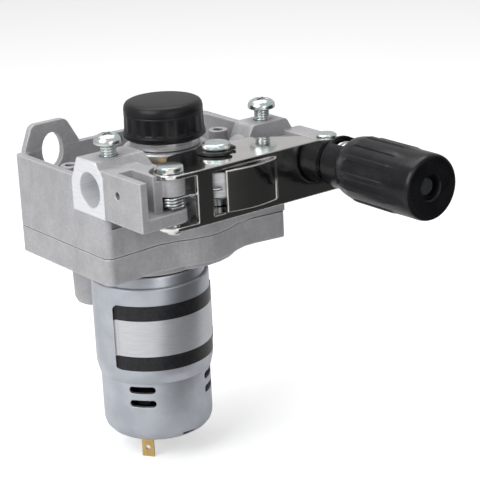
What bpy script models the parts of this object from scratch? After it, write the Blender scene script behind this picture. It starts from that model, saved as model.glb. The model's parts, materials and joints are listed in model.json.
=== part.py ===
"""Wire feeder with a spring-loaded pressure arm, a reduction gearbox and a DC motor.

Frame: Z = 0 is the panel seat under the gear cover, X runs along the wire from inlet to
outlet, Y = 0 is the wire's line, and the motor hangs down. Metres.
"""

from math import acos, atan2, cos, degrees, pi, radians, sin, sqrt, tan

import bmesh
import bpy
from mathutils import Matrix, Vector

MM = 0.001
GAP = 0.3 * MM  # clearance between neighbouring pieces
SIDES = 32  # facets of a large round piece
MIDDLE_SIDES = 24
SMALL_SIDES = 16
HOLE_SIDES = 12  # of a clearance hole or a post in a casting

# Wire and rolls
WIRE_Z = 35 * MM
ROLL_RADIUS = 16 * MM
ROLL_WIDTH = 10 * MM
ROLL_GROOVE = 0.8 * MM
DRIVE_X = -34 * MM
NIP = 0.3 * MM  # gap between the two rolls with no wire in them
ROLL_BORE = 5 * MM

# Gear train: motor pinion to the idler's wheel, idler's pinion to the output wheel
MOTOR_X = -46.5 * MM
MOTOR_Y = 13.5 * MM
FAST_MODULE = 0.6 * MM
SLOW_MODULE = 0.8 * MM
PINION_TEETH = 13
WHEEL_TEETH = 57
IDLER_TEETH = 12
OUTPUT_TEETH = 57
FAST_WIDTH = 4.9 * MM
SLOW_WIDTH = 6.5 * MM
GEAR_FLOOR_GAP = 1.8 * MM
GEAR_STEP = 0.8 * MM  # from the fast wheel's top to the slow wheel's foot
BACKLASH = 0.16 * MM
FEW_TEETH = 20  # a gear with fewer teeth has bent flanks

# Castings
LEFT_X = -78 * MM
RIGHT_X = 3.5 * MM
FRONT_Y = -8 * MM
REAR_Y = 52.5 * MM
CASTING_WALL = 2.5 * MM
COVER_HEIGHT = 10 * MM
COVER_FLOOR = 3 * MM
PAD_DEPTH = 2 * MM
DECK_TOP = 21 * MM
DECK_THICKNESS = 3 * MM
TRAY_RIGHT_X = 11 * MM
TRAY_TOP = 38 * MM
TRAY_WALL = 2.8 * MM
BULGE = 27.2 * MM  # radius of the front wall round the output wheel
TRAY_SCREW_PLACES = [(-67.5 * MM, 30 * MM), (1.2 * MM, 30 * MM)]
TRAY_BOSS_RADIUS = 3.8 * MM
TRAY_BOSS_HOLE = 2.1 * MM
TRAY_BOSS_TOP = 36 * MM
MOUNT_BOSS_RADIUS = 8 * MM
MOUNT_BOSS_ANGLE = radians(102.5)  # round the motor
MOUNT_BOSS_END = -25.5 * MM
STUD_HOLE = 3.4 * MM
LUG_X = -62.9 * MM
LUG_Z = 37 * MM
LUG_TOP = 48.2 * MM
LUG_HALF_WIDTH = 12 * MM
LUG_TOP_HALF_WIDTH = 7.8 * MM
LUG_SLOT_WIDTH = 9.4 * MM
LUG_SLOT_HEIGHT = 14 * MM

# Brackets beside the arm
BRACKET_LOW = 25.6 * MM
BRACKET_TOP = 43.4 * MM
BRACKET_FRONT_Y = -31.5 * MM
BRACKET_RIB_X = -65.7 * MM
BRACKET_HOLE = 1.5 * MM
BRACKET_HOLE_Y = -17 * MM
BRACKET_HOLE_Z = 36.3 * MM
KNUCKLE_HALF_WIDTH = 5 * MM
KNUCKLE_TOP = 41.2 * MM

# Shafts
DRIVE_SHAFT_RADIUS = 4 * MM
DRIVE_SHAFT_TOP = 53 * MM
BUSH_WALL = 2 * MM
IDLER_AXLE_RADIUS = 2 * MM
MOTOR_SHAFT_RADIUS = 2.5 * MM
KEY_WIDTH = 3 * MM
KEY_DEPTH = 1.6 * MM  # in the shaft
KEY_RISE = 1.4 * MM  # above the shaft

# Motor
CAN_RADIUS = 21 * MM
CAN_TOP = -2.3 * MM
CAN_BOTTOM = -66.2 * MM
CAN_WALL = 1.5 * MM
RING_RADIUS = 22.4 * MM
RING_TOP = -6.5 * MM
RING_BOTTOM = -44.5 * MM
CORE_RADIUS = 15.2 * MM
CORE_LENGTH = 25 * MM
CORE_TOP = -13 * MM
AIR_GAP = 0.6 * MM
MAGNET_ARC = 130
CAP_TOP = -56 * MM
COMMUTATOR_RADIUS = 6.5 * MM
BRUSH_WIDTH = 5 * MM
BRUSH_LENGTH = 8 * MM
BRUSH_ANGLE = -145
MOTOR_SCREW_CIRCLE = 14.5 * MM
MOTOR_SCREW_ANGLE = 60
MOTOR_SCREW_RADIUS = 2 * MM
MOTOR_BOSS_GAP = 0.25 * MM  # from the boss to the drive shaft's lower bush
MOTOR_BOSS_TOP = 1.5 * MM
MOTOR_BUSH_WALL = 2 * MM
TERMINAL_WIDTH = 4.8 * MM
TERMINAL_THICKNESS = 0.8 * MM
TERMINAL_TIP = -77.8 * MM
TERMINAL_REACH = 13.4 * MM  # from the motor's axis
TERMINAL_PAD = 2.2 * MM  # below the can
VENT_ANGLES = (-139.4, -49.4, 40.6, 130.6)
VENT_WIDTH = 10.2 * MM
VENT_HEIGHT = 2.9 * MM
VENT_LOWS = (-48.7 * MM, -54.2 * MM)

# Screws
COVER_SCREW_RADIUS = 1.5 * MM
COVER_SCREW_TIP = 17 * MM
COVER_POST_RADIUS = 3.6 * MM
COVER_HEAD_RADIUS = 2.8 * MM
COVER_HEAD_DEPTH = 2.4 * MM
COVER_SOCKET = 1.25 * MM
CLAMP_SCREW_RADIUS = 3 * MM
CLAMP_HEAD_RADIUS = 5.2 * MM
CLAMP_HEAD_HEIGHT = 3.6 * MM
CLAMP_LIFT = 4.5 * MM  # head underside above its boss at rest
RECESS_LENGTH = 5.2 * MM
RECESS_WIDTH = 1.1 * MM
RECESS_DEPTH = 1.6 * MM

# Wire bosses
INLET_SCREW_X = -69.5 * MM
INLET_BOSS_END = -56 * MM
INLET_BORE = 6.5 * MM
INLET_FACE = 0.5 * MM  # how far the machined face stands proud
INLET_FRONT_Y = -8.9 * MM
INLET_REAR_Y = 11.8 * MM
INLET_LOW = 25.5 * MM
INLET_FRONT_SHOULDER = 40.4 * MM
INLET_REAR_SHOULDER = 36.8 * MM
INLET_TOP = 46 * MM
OUTLET_TOP = 45.7 * MM
OUTLET_LEFT_X = -10 * MM
OUTLET_HALF_WIDTH = 5.3 * MM
OUTLET_BORE = 4 * MM
GUIDE_RADIUS = 3 * MM
GUIDE_BORE = 1.2 * MM

# Roll knob
KNOB_RADIUS = 15.5 * MM
KNOB_BOTTOM = 43.3 * MM
KNOB_TOP = 57.2 * MM
COLLAR_RADIUS = 13.1 * MM
INSERT_RADIUS = 7.5 * MM
FIT = 0.1 * MM  # radial clearance of a ring on its shaft

# Pressure arm
PIVOT_X = -60.5 * MM
PIVOT_Y = -24.6 * MM
PIVOT_RADIUS = 3 * MM
SHEET = 1.5 * MM
ARM_BOTTOM = 22.5 * MM
ARM_TOP = 43 * MM
WEB_Y = -31.2 * MM
WEB_LEFT_X = -53.8 * MM
ARM_EYE_RADIUS = 5.9 * MM
ARM_REAR_Y = -8 * MM
ARM_RIGHT_X = 1.4 * MM
ARM_RIGHT_Y = -22.7 * MM
WINDOW_LEFT_X = -47.1 * MM
TONGUE_LEFT_X = -41.8 * MM
TONGUE_RIGHT_X = -19.3 * MM
TONGUE_LOW = 25.4 * MM
TONGUE_HIGH = 40.7 * MM
TONGUE_SHEET = 1.2 * MM
PIVOT_TOP = 45.4 * MM
PIVOT_LOW = 19.5 * MM
PIVOT_HEAD = 4.7 * MM
ROLLER_PIN_RADIUS = 4 * MM
ROLLER_PIN_TOP = 46.7 * MM
ROLLER_PIN_LOW = 20.8 * MM
ROLLER_PIN_HEAD = 5.1 * MM
ROLLER_PIN_NECK = 3.2 * MM
CLIP_RADIUS = 7.2 * MM
CLIP_THICKNESS = 1 * MM
SPACER_RADIUS = 5.6 * MM
BEARING_RADIUS = 11 * MM
BEARING_WIDTH = 7 * MM
SPRING_GAP_LOW = 30 * MM
SPRING_GAP_HIGH = 35 * MM
TORSION_COIL_RADIUS = 4.4 * MM
TORSION_WIRE = 0.6 * MM
TORSION_TURNS = 3

# Tension handle
HINGE_X = 10.5 * MM
HINGE_Y = -25 * MM
ROD_Z = 33.2 * MM
HINGE_PIN_RADIUS = 2 * MM
HINGE_PIN_HEAD = 3.9 * MM
HINGE_PIN_RISE = 1.6 * MM
ROD_RADIUS = 3 * MM
ROD_EYE_RADIUS = 4.2 * MM
EAR_RADIUS = 4.3 * MM
EAR_THICKNESS = 3.4 * MM
FORK_RIGHT_X = HINGE_X + 1 * MM
SLEEVE_RADIUS = 9.8 * MM
SLEEVE_WALL = 1.2 * MM
SLEEVE_LENGTH = 18 * MM
SLEEVE_FLOOR = 1.5 * MM
SLEEVE_WINDOW = 10 * MM
SLEEVE_WINDOW_END = 9.5 * MM  # from the sleeve's start
TENSION_COIL_RADIUS = 7.3 * MM
TENSION_WIRE = 0.8 * MM
TENSION_TURNS = 14
WASHER_THICKNESS = 1.2 * MM
GRIP_RADIUS = 12.5 * MM
GRIP_START = 17 * MM  # from the hinge, along the rod
GRIP_END = 56.5 * MM
GRIP_HOLE = 4.5 * MM
NUT_RADIUS = 6 * MM
NUT_LENGTH = 6 * MM
NUT_LOW = 44 * MM  # from the hinge, along the rod


# ---------------------------------------------------------------- tools

def clear_scene():
    for thing in list(bpy.data.objects):
        bpy.data.objects.remove(thing, do_unlink=True)


def new_collection(name):
    made = bpy.data.collections.new(name)
    bpy.context.scene.collection.children.link(made)
    return made


clear_scene()
PARTS = new_collection("wire_feeder")
CUTTERS = new_collection("cutters")


def material(name, colour, metallic, roughness):
    made = bpy.data.materials.new(name)
    made.use_nodes = True
    shader = made.node_tree.nodes["Principled BSDF"]
    shader.inputs["Base Color"].default_value = (*colour, 1)
    shader.inputs["Metallic"].default_value = metallic
    shader.inputs["Roughness"].default_value = roughness
    made.diffuse_color = (*colour, 1)
    return made


CAST = material("cast_aluminium", (0.62, 0.61, 0.60), 0.6, 0.5)
NICKEL = material("bright_nickel", (0.80, 0.79, 0.78), 1.0, 0.08)
ZINC = material("zinc_plate", (0.72, 0.76, 0.77), 1.0, 0.25)
STEEL = material("ground_steel", (0.60, 0.60, 0.62), 1.0, 0.3)
CAN_STEEL = material("can_steel", (0.63, 0.65, 0.69), 0.9, 0.35)
BLACK = material("black_plastic", (0.03, 0.03, 0.035), 0.0, 0.4)
BRASS = material("brass", (0.80, 0.60, 0.28), 1.0, 0.3)
BRONZE = material("sintered_bronze", (0.60, 0.42, 0.24), 0.9, 0.5)
COPPER = material("enamelled_copper", (0.70, 0.30, 0.12), 0.8, 0.35)
FERRITE = material("ferrite", (0.12, 0.12, 0.13), 0.1, 0.7)
CARBON = material("carbon", (0.06, 0.06, 0.06), 0.2, 0.6)
SPRING_STEEL = material("spring_steel", (0.65, 0.66, 0.67), 1.0, 0.25)


def add(name, mesh, at=(0, 0, 0), turn=(0, 0, 0)):
    """A new object in the parts collection, with its origin at a point and a turn in degrees."""
    made = bpy.data.objects.new(name, mesh)
    made.location = at
    made.rotation_euler = [radians(angle) for angle in turn]
    PARTS.objects.link(made)
    return made


def drum(name, radius, low, high, at=(0, 0, 0), turn=(0, 0, 0), sides=SIDES, top_radius=None):
    """A cylinder or cone frustum along its own Z, from low to high."""
    shape = bmesh.new()
    bmesh.ops.create_cone(
        shape, cap_ends=True, segments=sides, radius1=radius,
        radius2=radius if top_radius is None else top_radius, depth=high - low,
        matrix=Matrix.Translation((0, 0, (low + high) / 2)),
    )
    mesh = bpy.data.meshes.new(name)
    shape.to_mesh(mesh)
    shape.free()
    mesh.shade_smooth()
    mesh.set_sharp_from_angle(angle=radians(30))
    return add(name, mesh, at, turn)


def block(name, low, high, at=(0, 0, 0), turn=(0, 0, 0)):
    """A box between two opposite corners."""
    shape = bmesh.new()
    size = Vector(high) - Vector(low)
    centre = (Vector(high) + Vector(low)) / 2
    bmesh.ops.create_cube(
        shape, size=1, matrix=Matrix.Translation(centre) @ Matrix.Diagonal((*size, 1))
    )
    mesh = bpy.data.meshes.new(name)
    shape.to_mesh(mesh)
    shape.free()
    return add(name, mesh, at, turn)


def turned(name, profile, at=(0, 0, 0), turn=(0, 0, 0), sides=SIDES, ring=False):
    """A profile of (radius, height) points, turned about Z. It runs down its outer side;
    a ring's profile closes on itself, and any other one starts and ends on the axis."""
    mesh = bpy.data.meshes.new(name)
    count = len(profile)
    edges = [(i, i + 1) for i in range(count - 1)] + ([(count - 1, 0)] if ring else [])
    mesh.from_pydata([(radius, 0, height) for radius, height in profile], edges, [])
    made = add(name, mesh, at, turn)
    screw = made.modifiers.new("turn", "SCREW")
    screw.steps = screw.render_steps = sides
    screw.use_merge_vertices = True
    screw.merge_threshold = 1e-6
    screw.use_smooth_shade = True
    return made


def solid_copy(thing):
    """The object's evaluated shape as a mesh object in its place."""
    bpy.context.view_layer.update()
    graph = bpy.context.evaluated_depsgraph_get()
    mesh = bpy.data.meshes.new_from_object(thing.evaluated_get(graph))
    shape = bmesh.new()
    shape.from_mesh(mesh)
    bmesh.ops.remove_doubles(shape, verts=shape.verts, dist=1e-6)
    bmesh.ops.recalc_face_normals(shape, faces=shape.faces)
    shape.to_mesh(mesh)
    shape.free()
    name, place = thing.name, thing.matrix_world.copy()
    bpy.data.objects.remove(thing, do_unlink=True)
    made = add(name, mesh)
    made.matrix_world = place
    return made


def plate(name, outline, low, high, at=(0, 0, 0), turn=(0, 0, 0)):
    """A flat outline of (x, y) points, given a thickness from low to high along its own Z."""
    curve = bpy.data.curves.new(name, "CURVE")
    curve.dimensions = "2D"
    curve.fill_mode = "BOTH"
    curve.extrude = (high - low) / 2
    spline = curve.splines.new("POLY")
    spline.points.add(len(outline) - 1)
    for point, (x, y) in zip(spline.points, outline):
        point.co = (x, y, 0, 1)
    spline.use_cyclic_u = True
    made = solid_copy(add(name, curve, at, turn))
    made.data.transform(Matrix.Translation((0, 0, (low + high) / 2)))
    return made


def wire(name, points, radius, at=(0, 0, 0), turn=(0, 0, 0)):
    """A round wire through a list of points."""
    curve = bpy.data.curves.new(name, "CURVE")
    curve.dimensions = "3D"
    curve.bevel_depth = radius
    curve.bevel_resolution = 1
    curve.use_fill_caps = True
    spline = curve.splines.new("POLY")
    spline.points.add(len(points) - 1)
    for point, place in zip(spline.points, points):
        point.co = (*place, 1)
    return add(name, curve, at, turn)


def tool(thing):
    """Puts a cutter or a shape to be joined away from the parts."""
    PARTS.objects.unlink(thing)
    CUTTERS.objects.link(thing)
    thing.hide_render = True
    thing.display_type = "WIRE"


def combine(operation, target, others):
    for other in others:
        modifier = target.modifiers.new(other.name, "BOOLEAN")
        modifier.operation = operation
        modifier.object = other
        tool(other)
    return target


def cut(target, *others):
    return combine("DIFFERENCE", target, others)


def join(target, *others):
    return combine("UNION", target, others)


def finish(thing, look):
    thing.data.materials.clear()
    thing.data.materials.append(look)
    return thing


def axis(name, at):
    """An empty on a joint's axis."""
    made = bpy.data.objects.new(name, None)
    made.location = at
    made.empty_display_size = 0.01
    PARTS.objects.link(made)
    bpy.context.view_layer.update()
    return made


def hang(parent, *things):
    bpy.context.view_layer.update()
    for thing in things:
        thing.parent = parent
        thing.matrix_parent_inverse = parent.matrix_world.inverted()


def arc(centre, radius, start, end, steps):
    """Points on an arc, from one angle to another in degrees."""
    return [
        (centre[0] + radius * cos(radians(start + (end - start) * i / steps)),
         centre[1] + radius * sin(radians(start + (end - start) * i / steps)))
        for i in range(steps + 1)
    ]


def oval(centre, half_x, half_y, steps=20):
    return [
        (centre[0] + half_x * cos(2 * pi * i / steps), centre[1] + half_y * sin(2 * pi * i / steps))
        for i in range(steps)
    ]


def rounded(corners, inset=0.0):
    """The outline through (x, y, radius) corners, each rounded, moved inwards by an inset.
    The corners run anticlockwise."""
    count = len(corners)
    points = [Vector(corner[:2]) for corner in corners]
    moved = []
    for i in range(count):
        before = (points[i] - points[i - 1]).normalized()
        after = (points[(i + 1) % count] - points[i]).normalized()
        inward = Vector((-before.y, before.x)) + Vector((-after.y, after.x))
        moved.append(points[i] + inward * inset / (1 + before.dot(after)))
    outline = []
    for i in range(count):
        corner = moved[i]
        before = (corner - moved[i - 1]).normalized()
        after = (moved[(i + 1) % count] - corner).normalized()
        bend = atan2(before.x * after.y - before.y * after.x, before.dot(after))
        radius = corners[i][2] - inset if bend > 0 else corners[i][2] + inset
        if corners[i][2] <= 0 or radius <= 0 or abs(bend) < 0.02:
            outline.append((corner.x, corner.y))
            continue
        reach = radius * tan(abs(bend) / 2)
        steps = max(1, round(abs(bend) / radians(22)))
        side = 1 if bend > 0 else -1
        start = corner - before * reach
        centre = start + Vector((-before.y, before.x)) * radius * side
        first = degrees(atan2((start - centre).y, (start - centre).x))
        outline += arc(centre, radius, first, first + degrees(bend), steps)
    return outline


def meeting_point(first, first_distance, second, second_distance):
    """The point at given distances from two centres, on the left going from first to second."""
    span = second - first
    along = (first_distance ** 2 - second_distance ** 2 + span.length ** 2) / (2 * span.length)
    across = sqrt(first_distance ** 2 - along ** 2)
    unit = span.normalized()
    return first + unit * along + Vector((-unit.y, unit.x)) * across


# ---------------------------------------------------------------- places worked out

DRIVE_Y = ROLL_RADIUS
ROLL_LOW = WIRE_Z - ROLL_WIDTH / 2
ROLL_HIGH = WIRE_Z + ROLL_WIDTH / 2
ROLLER_Y = -ROLL_RADIUS - NIP
DRIVE = Vector((DRIVE_X, DRIVE_Y))
MOTOR = Vector((MOTOR_X, MOTOR_Y))
IDLER = meeting_point(
    MOTOR, FAST_MODULE * (PINION_TEETH + WHEEL_TEETH) / 2,
    DRIVE, SLOW_MODULE * (IDLER_TEETH + OUTPUT_TEETH) / 2,
)
FAST_LOW = COVER_FLOOR + GEAR_FLOOR_GAP
FAST_HIGH = FAST_LOW + FAST_WIDTH
SLOW_LOW = FAST_HIGH + GEAR_STEP
SLOW_HIGH = SLOW_LOW + SLOW_WIDTH
DECK_LOW = DECK_TOP - DECK_THICKNESS
PARTING = COVER_HEIGHT + GAP
BUSH_RADIUS = DRIVE_SHAFT_RADIUS + BUSH_WALL
BUSH_BORE = DRIVE_SHAFT_RADIUS + 0.05 * MM
MOTOR_BOSS_RADIUS = (MOTOR - DRIVE).length - BUSH_RADIUS - MOTOR_BOSS_GAP
BOSS_TOP = ROLL_LOW - 1 * MM
SHAFT_LOW = 0.8 * MM
MOUNT_BOSS = MOTOR + (RING_RADIUS + MOUNT_BOSS_RADIUS + 2 * GAP) * Vector(
    (cos(MOUNT_BOSS_ANGLE), sin(MOUNT_BOSS_ANGLE)))
EAR_LOW = ROD_Z - ROD_EYE_RADIUS - GAP - EAR_THICKNESS
EAR_HIGH = ROD_Z + ROD_EYE_RADIUS + GAP + EAR_THICKNESS
SLEEVE_START = HINGE_Y - WEB_Y + GAP
SLEEVE_END = SLEEVE_START + SLEEVE_LENGTH
SPRING_ROOM = SLEEVE_RADIUS + 0.5 * MM
ROD_END = GRIP_END - 3 * MM
WASHER_HIGH = NUT_LOW - 2 * GAP
WASHER_LOW = WASHER_HIGH - WASHER_THICKNESS
CORE_LOW = CORE_TOP - CORE_LENGTH
MAGNET_OUTER = CAN_RADIUS - CAN_WALL - GAP
CAP_LOW = CAN_BOTTOM + 2 * GAP
COMMUTATOR_TOP = CORE_LOW - 6.8 * MM
COMMUTATOR_LOW = CAP_TOP + GAP


def casting_corners(right=RIGHT_X):
    """The castings' outline, with the front wall swelling round the output wheel."""
    crest = DRIVE_Y - BULGE
    return [
        (LEFT_X, FRONT_Y, 3 * MM),
        (DRIVE_X - 16.5 * MM, FRONT_Y + 2 * MM, 18 * MM),
        (DRIVE_X - 6 * MM, crest, 16 * MM),
        (DRIVE_X + 6 * MM, crest, 16 * MM),
        (DRIVE_X + 18.5 * MM, FRONT_Y + 2.8 * MM, 16 * MM),
        (right, FRONT_Y, 2 * MM),
        (right, REAR_Y, 2 * MM),
        (LEFT_X, REAR_Y, 2 * MM),
    ]


def cover_screw_places():
    left, right = LEFT_X + 6.4 * MM, RIGHT_X - 6 * MM
    front, rear = FRONT_Y + 6.4 * MM, REAR_Y - 5.6 * MM
    return [(left, front), (right - 6 * MM, front), (left, rear), (right, rear)]


# ---------------------------------------------------------------- castings

def gear_cover():
    cover = plate("gear_cover", rounded(casting_corners()), 0, COVER_HEIGHT)
    pocket = plate("cover_pocket", rounded(casting_corners(), CASTING_WALL),
                   COVER_FLOOR, COVER_HEIGHT + MM)
    cut(pocket,
        drum("bush_boss_low", BUSH_RADIUS + 1.5 * MM, MM, FAST_HIGH, (*DRIVE, 0)),
        drum("idler_boss_low", 4.5 * MM, MM, FAST_LOW - GAP, (*IDLER, 0), sides=HOLE_SIDES))
    for place in cover_screw_places():
        cut(pocket, drum("cover_post", COVER_POST_RADIUS, MM, COVER_HEIGHT + 2 * MM,
                         (*place, 0), sides=HOLE_SIDES))
    cut(cover, pocket)
    join(
        cover,
        drum("pad_drive", BULGE - 2.2 * MM, -PAD_DEPTH, MM, (*DRIVE, 0)),
        drum("pad_motor", CAN_RADIUS - 0.4 * MM, -PAD_DEPTH, 1.1 * MM, (*MOTOR, 0)),
        turned(
            "hanging_boss",
            [(0, 1.2 * MM), (MOUNT_BOSS_RADIUS, 1.2 * MM),
             (MOUNT_BOSS_RADIUS - 0.6 * MM, MOUNT_BOSS_END + 3 * MM),
             (MOUNT_BOSS_RADIUS - 1.6 * MM, MOUNT_BOSS_END + 1 * MM),
             (MOUNT_BOSS_RADIUS - 3.4 * MM, MOUNT_BOSS_END), (0, MOUNT_BOSS_END)],
            (*MOUNT_BOSS, 0), sides=MIDDLE_SIDES),
    )
    for place in cover_screw_places():
        cut(cover, drum("cover_hole", COVER_SCREW_RADIUS + GAP, -MM, COVER_HEIGHT + MM,
                        (*place, 0), sides=HOLE_SIDES),
            drum("cover_counterbore", COVER_HEAD_RADIUS + GAP, -MM, COVER_HEAD_DEPTH,
                 (*place, 0), sides=HOLE_SIDES))
    cut(
        cover,
        drum("motor_boss_hole", MOTOR_BOSS_RADIUS + GAP, -3 * MM, COVER_FLOOR + MM, (*MOTOR, 0)),
        drum("bush_hole_low", BUSH_RADIUS + GAP, SHAFT_LOW - GAP, FAST_HIGH + MM, (*DRIVE, 0)),
        drum("axle_hole_low", IDLER_AXLE_RADIUS + GAP, GAP, FAST_LOW + MM, (*IDLER, 0),
             sides=HOLE_SIDES),
        drum("stud_hole", STUD_HOLE, MOUNT_BOSS_END - MM, -4 * MM, (*MOUNT_BOSS, 0),
             sides=HOLE_SIDES),
    )
    for place in motor_screw_places():
        cut(cover, drum("motor_screw_hole", MOTOR_SCREW_RADIUS + GAP, -3 * MM, COVER_FLOOR + MM,
                        (*place, 0), sides=HOLE_SIDES),
            drum("motor_screw_sink", MOTOR_SCREW_RADIUS + GAP, COVER_FLOOR - 2.3 * MM,
                 COVER_FLOOR + 0.5 * MM, (*place, 0), sides=HOLE_SIDES,
                 top_radius=MOTOR_SCREW_RADIUS + 2.8 * MM))
    finish(cover, CAST)


def motor_screw_places():
    places = []
    for angle in (MOTOR_SCREW_ANGLE, MOTOR_SCREW_ANGLE + 180):
        reach = Vector((cos(radians(angle)), sin(radians(angle)))) * MOTOR_SCREW_CIRCLE
        places.append(MOTOR + reach)
    return places


def housing():
    casing = plate("housing", rounded(casting_corners(TRAY_RIGHT_X)), PARTING, TRAY_TOP)
    pocket = plate("housing_pocket", rounded(casting_corners(), CASTING_WALL),
                   PARTING - MM, DECK_LOW)
    for place in cover_screw_places():
        cut(pocket, drum("housing_post", COVER_POST_RADIUS, PARTING - 2 * MM, DECK_TOP,
                         (*place, 0), sides=HOLE_SIDES))
    inside = plate(
        "tray_inside",
        rounded([(LEFT_X + TRAY_WALL, DRIVE_Y - BULGE - 9 * MM, 0),
                 (TRAY_RIGHT_X - TRAY_WALL, DRIVE_Y - BULGE - 9 * MM, 0),
                 (TRAY_RIGHT_X - TRAY_WALL, REAR_Y - TRAY_WALL, 3 * MM),
                 (LEFT_X + TRAY_WALL, REAR_Y - TRAY_WALL, 3 * MM)]),
        DECK_TOP, TRAY_TOP + MM)
    overhang = block("overhang", (RIGHT_X, FRONT_Y - 20 * MM, 0),
                     (TRAY_RIGHT_X + MM, REAR_Y + MM, DECK_LOW - 2 * MM))
    cut(casing, pocket, inside, overhang)
    join(casing, rear_lug(), *inlet_boss(), outlet_boss(), *left_bracket(), *right_bracket())
    for place in TRAY_SCREW_PLACES:
        join(casing, drum("tray_boss", TRAY_BOSS_RADIUS, DECK_LOW + 1.3 * MM, TRAY_BOSS_TOP,
                          (*place, 0), sides=HOLE_SIDES))
        cut(casing, drum("tray_boss_hole", TRAY_BOSS_HOLE, DECK_TOP + 3 * MM,
                         TRAY_BOSS_TOP + MM, (*place, 0), sides=HOLE_SIDES))
    join(casing, drum("bush_boss_high", BUSH_RADIUS + 3 * MM, DECK_LOW + 1.6 * MM, BOSS_TOP,
                      (*DRIVE, 0)))
    for place in cover_screw_places():
        cut(casing, drum("housing_post_hole", COVER_SCREW_RADIUS + GAP, PARTING - MM,
                         COVER_SCREW_TIP + MM, (*place, 0), sides=HOLE_SIDES))
    cut(
        casing,
        drum("bush_hole_high", BUSH_RADIUS + GAP, SLOW_HIGH, BOSS_TOP + MM, (*DRIVE, 0)),
        drum("axle_hole_high", IDLER_AXLE_RADIUS + GAP, SLOW_HIGH, DECK_TOP - MM, (*IDLER, 0),
             sides=HOLE_SIDES),
        drum("pivot_hole", PIVOT_RADIUS + GAP, ARM_BOTTOM, ARM_TOP, (PIVOT_X, PIVOT_Y, 0),
             sides=HOLE_SIDES),
        block("torsion_spring_gap", (PIVOT_X - 5.2 * MM, PIVOT_Y - 8 * MM, SPRING_GAP_LOW),
              (PIVOT_X + 8 * MM, PIVOT_Y + 6.4 * MM, SPRING_GAP_HIGH)),
        drum("hinge_pin_hole", HINGE_PIN_RADIUS + GAP, ROD_Z - 12 * MM, ROD_Z + 12 * MM,
             (HINGE_X, HINGE_Y, 0), sides=HOLE_SIDES),
        drum("inlet_bore", INLET_BORE, LEFT_X - 2 * MM, INLET_BOSS_END - 5 * MM,
             (0, 0, WIRE_Z), (0, 90, 0)),
        drum("inlet_guide_hole", GUIDE_RADIUS + GAP, INLET_BOSS_END - 6 * MM,
             INLET_BOSS_END + 2 * MM, (0, 0, WIRE_Z), (0, 90, 0), sides=HOLE_SIDES),
        drum("inlet_screw_hole", CLAMP_SCREW_RADIUS + GAP, WIRE_Z, INLET_TOP + MM,
             (INLET_SCREW_X, 0, 0), sides=HOLE_SIDES),
        drum("outlet_bore", OUTLET_BORE, OUTLET_LEFT_X - 5 * MM, TRAY_RIGHT_X + MM,
             (0, 0, WIRE_Z), (0, 90, 0), sides=MIDDLE_SIDES),
        drum("outlet_screw_hole", CLAMP_SCREW_RADIUS + GAP, WIRE_Z, OUTLET_TOP + MM,
             sides=HOLE_SIDES),
        drum("bracket_hole", BRACKET_HOLE, LEFT_X - MM, LEFT_X + 5 * MM,
             (0, BRACKET_HOLE_Y, BRACKET_HOLE_Z), (0, 90, 0), sides=HOLE_SIDES),
        lug_slot(),
    )
    finish(casing, CAST)


def rear_lug():
    low, shoulder = TRAY_TOP - 8 * MM, TRAY_TOP + MM
    left, right = LUG_X - LUG_HALF_WIDTH, LUG_X + LUG_HALF_WIDTH
    return plate(
        "lug", rounded([(left, low, 0), (right + MM, low, 0), (right, shoulder, 1.5 * MM),
                        (LUG_X + LUG_TOP_HALF_WIDTH - MM, LUG_TOP, 3 * MM),
                        (LUG_X - LUG_TOP_HALF_WIDTH - 0.5 * MM, LUG_TOP, 3 * MM),
                        (left, shoulder, 2 * MM)]),
        -REAR_Y, -REAR_Y + TRAY_WALL - 0.1 * MM, turn=(90, 0, 0))


def lug_slot():
    return plate("lug_slot", oval((LUG_X, LUG_Z), LUG_SLOT_WIDTH / 2, LUG_SLOT_HEIGHT / 2),
                 -REAR_Y - 2 * MM, -REAR_Y + TRAY_WALL + 4 * MM, turn=(90, 0, 0))


def inlet_boss():
    face = LEFT_X - INLET_FACE
    front, rear = INLET_FRONT_Y, INLET_REAR_Y
    top_front, top_rear = front + 4.2 * MM, rear - 4.6 * MM
    boss = plate(
        "inlet_boss",
        rounded([(front, INLET_LOW, 0), (rear, INLET_LOW, 0), (rear, INLET_REAR_SHOULDER, 1 * MM),
                 (top_rear, INLET_TOP, 1.2 * MM), (top_front, INLET_TOP, 1.2 * MM),
                 (front, INLET_FRONT_SHOULDER, 1 * MM)]),
        face, INLET_BOSS_END, turn=(90, 0, 90))
    slope = plate(
        "inlet_slope", [(INLET_BOSS_END - 2.2 * MM, INLET_TOP + MM),
                        (INLET_BOSS_END + 0.4 * MM, 39 * MM),
                        (INLET_BOSS_END + 4 * MM, 39 * MM),
                        (INLET_BOSS_END + 4 * MM, INLET_TOP + MM)],
        -20 * MM, 20 * MM, turn=(90, 0, 0))
    cut(boss, slope)
    foot = block("inlet_foot", (LEFT_X + MM, FRONT_Y + 2 * MM, DECK_LOW + MM),
                 (INLET_BOSS_END - MM, rear - MM, INLET_LOW + MM))
    return [boss, foot]


def outlet_boss():
    half = OUTLET_HALF_WIDTH
    return plate(
        "outlet_boss", rounded([(OUTLET_LEFT_X - 3 * MM, DECK_LOW + MM, 0),
                                (TRAY_RIGHT_X - MM, DECK_LOW + MM, 0),
                                (TRAY_RIGHT_X - MM, 41.5 * MM, 1 * MM),
                                (7.5 * MM, OUTLET_TOP, 2 * MM),
                                (-8.5 * MM, OUTLET_TOP, 2 * MM),
                                (OUTLET_LEFT_X - 2.4 * MM, 38 * MM, 2 * MM)]),
        -half, half, turn=(90, 0, 0))


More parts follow.
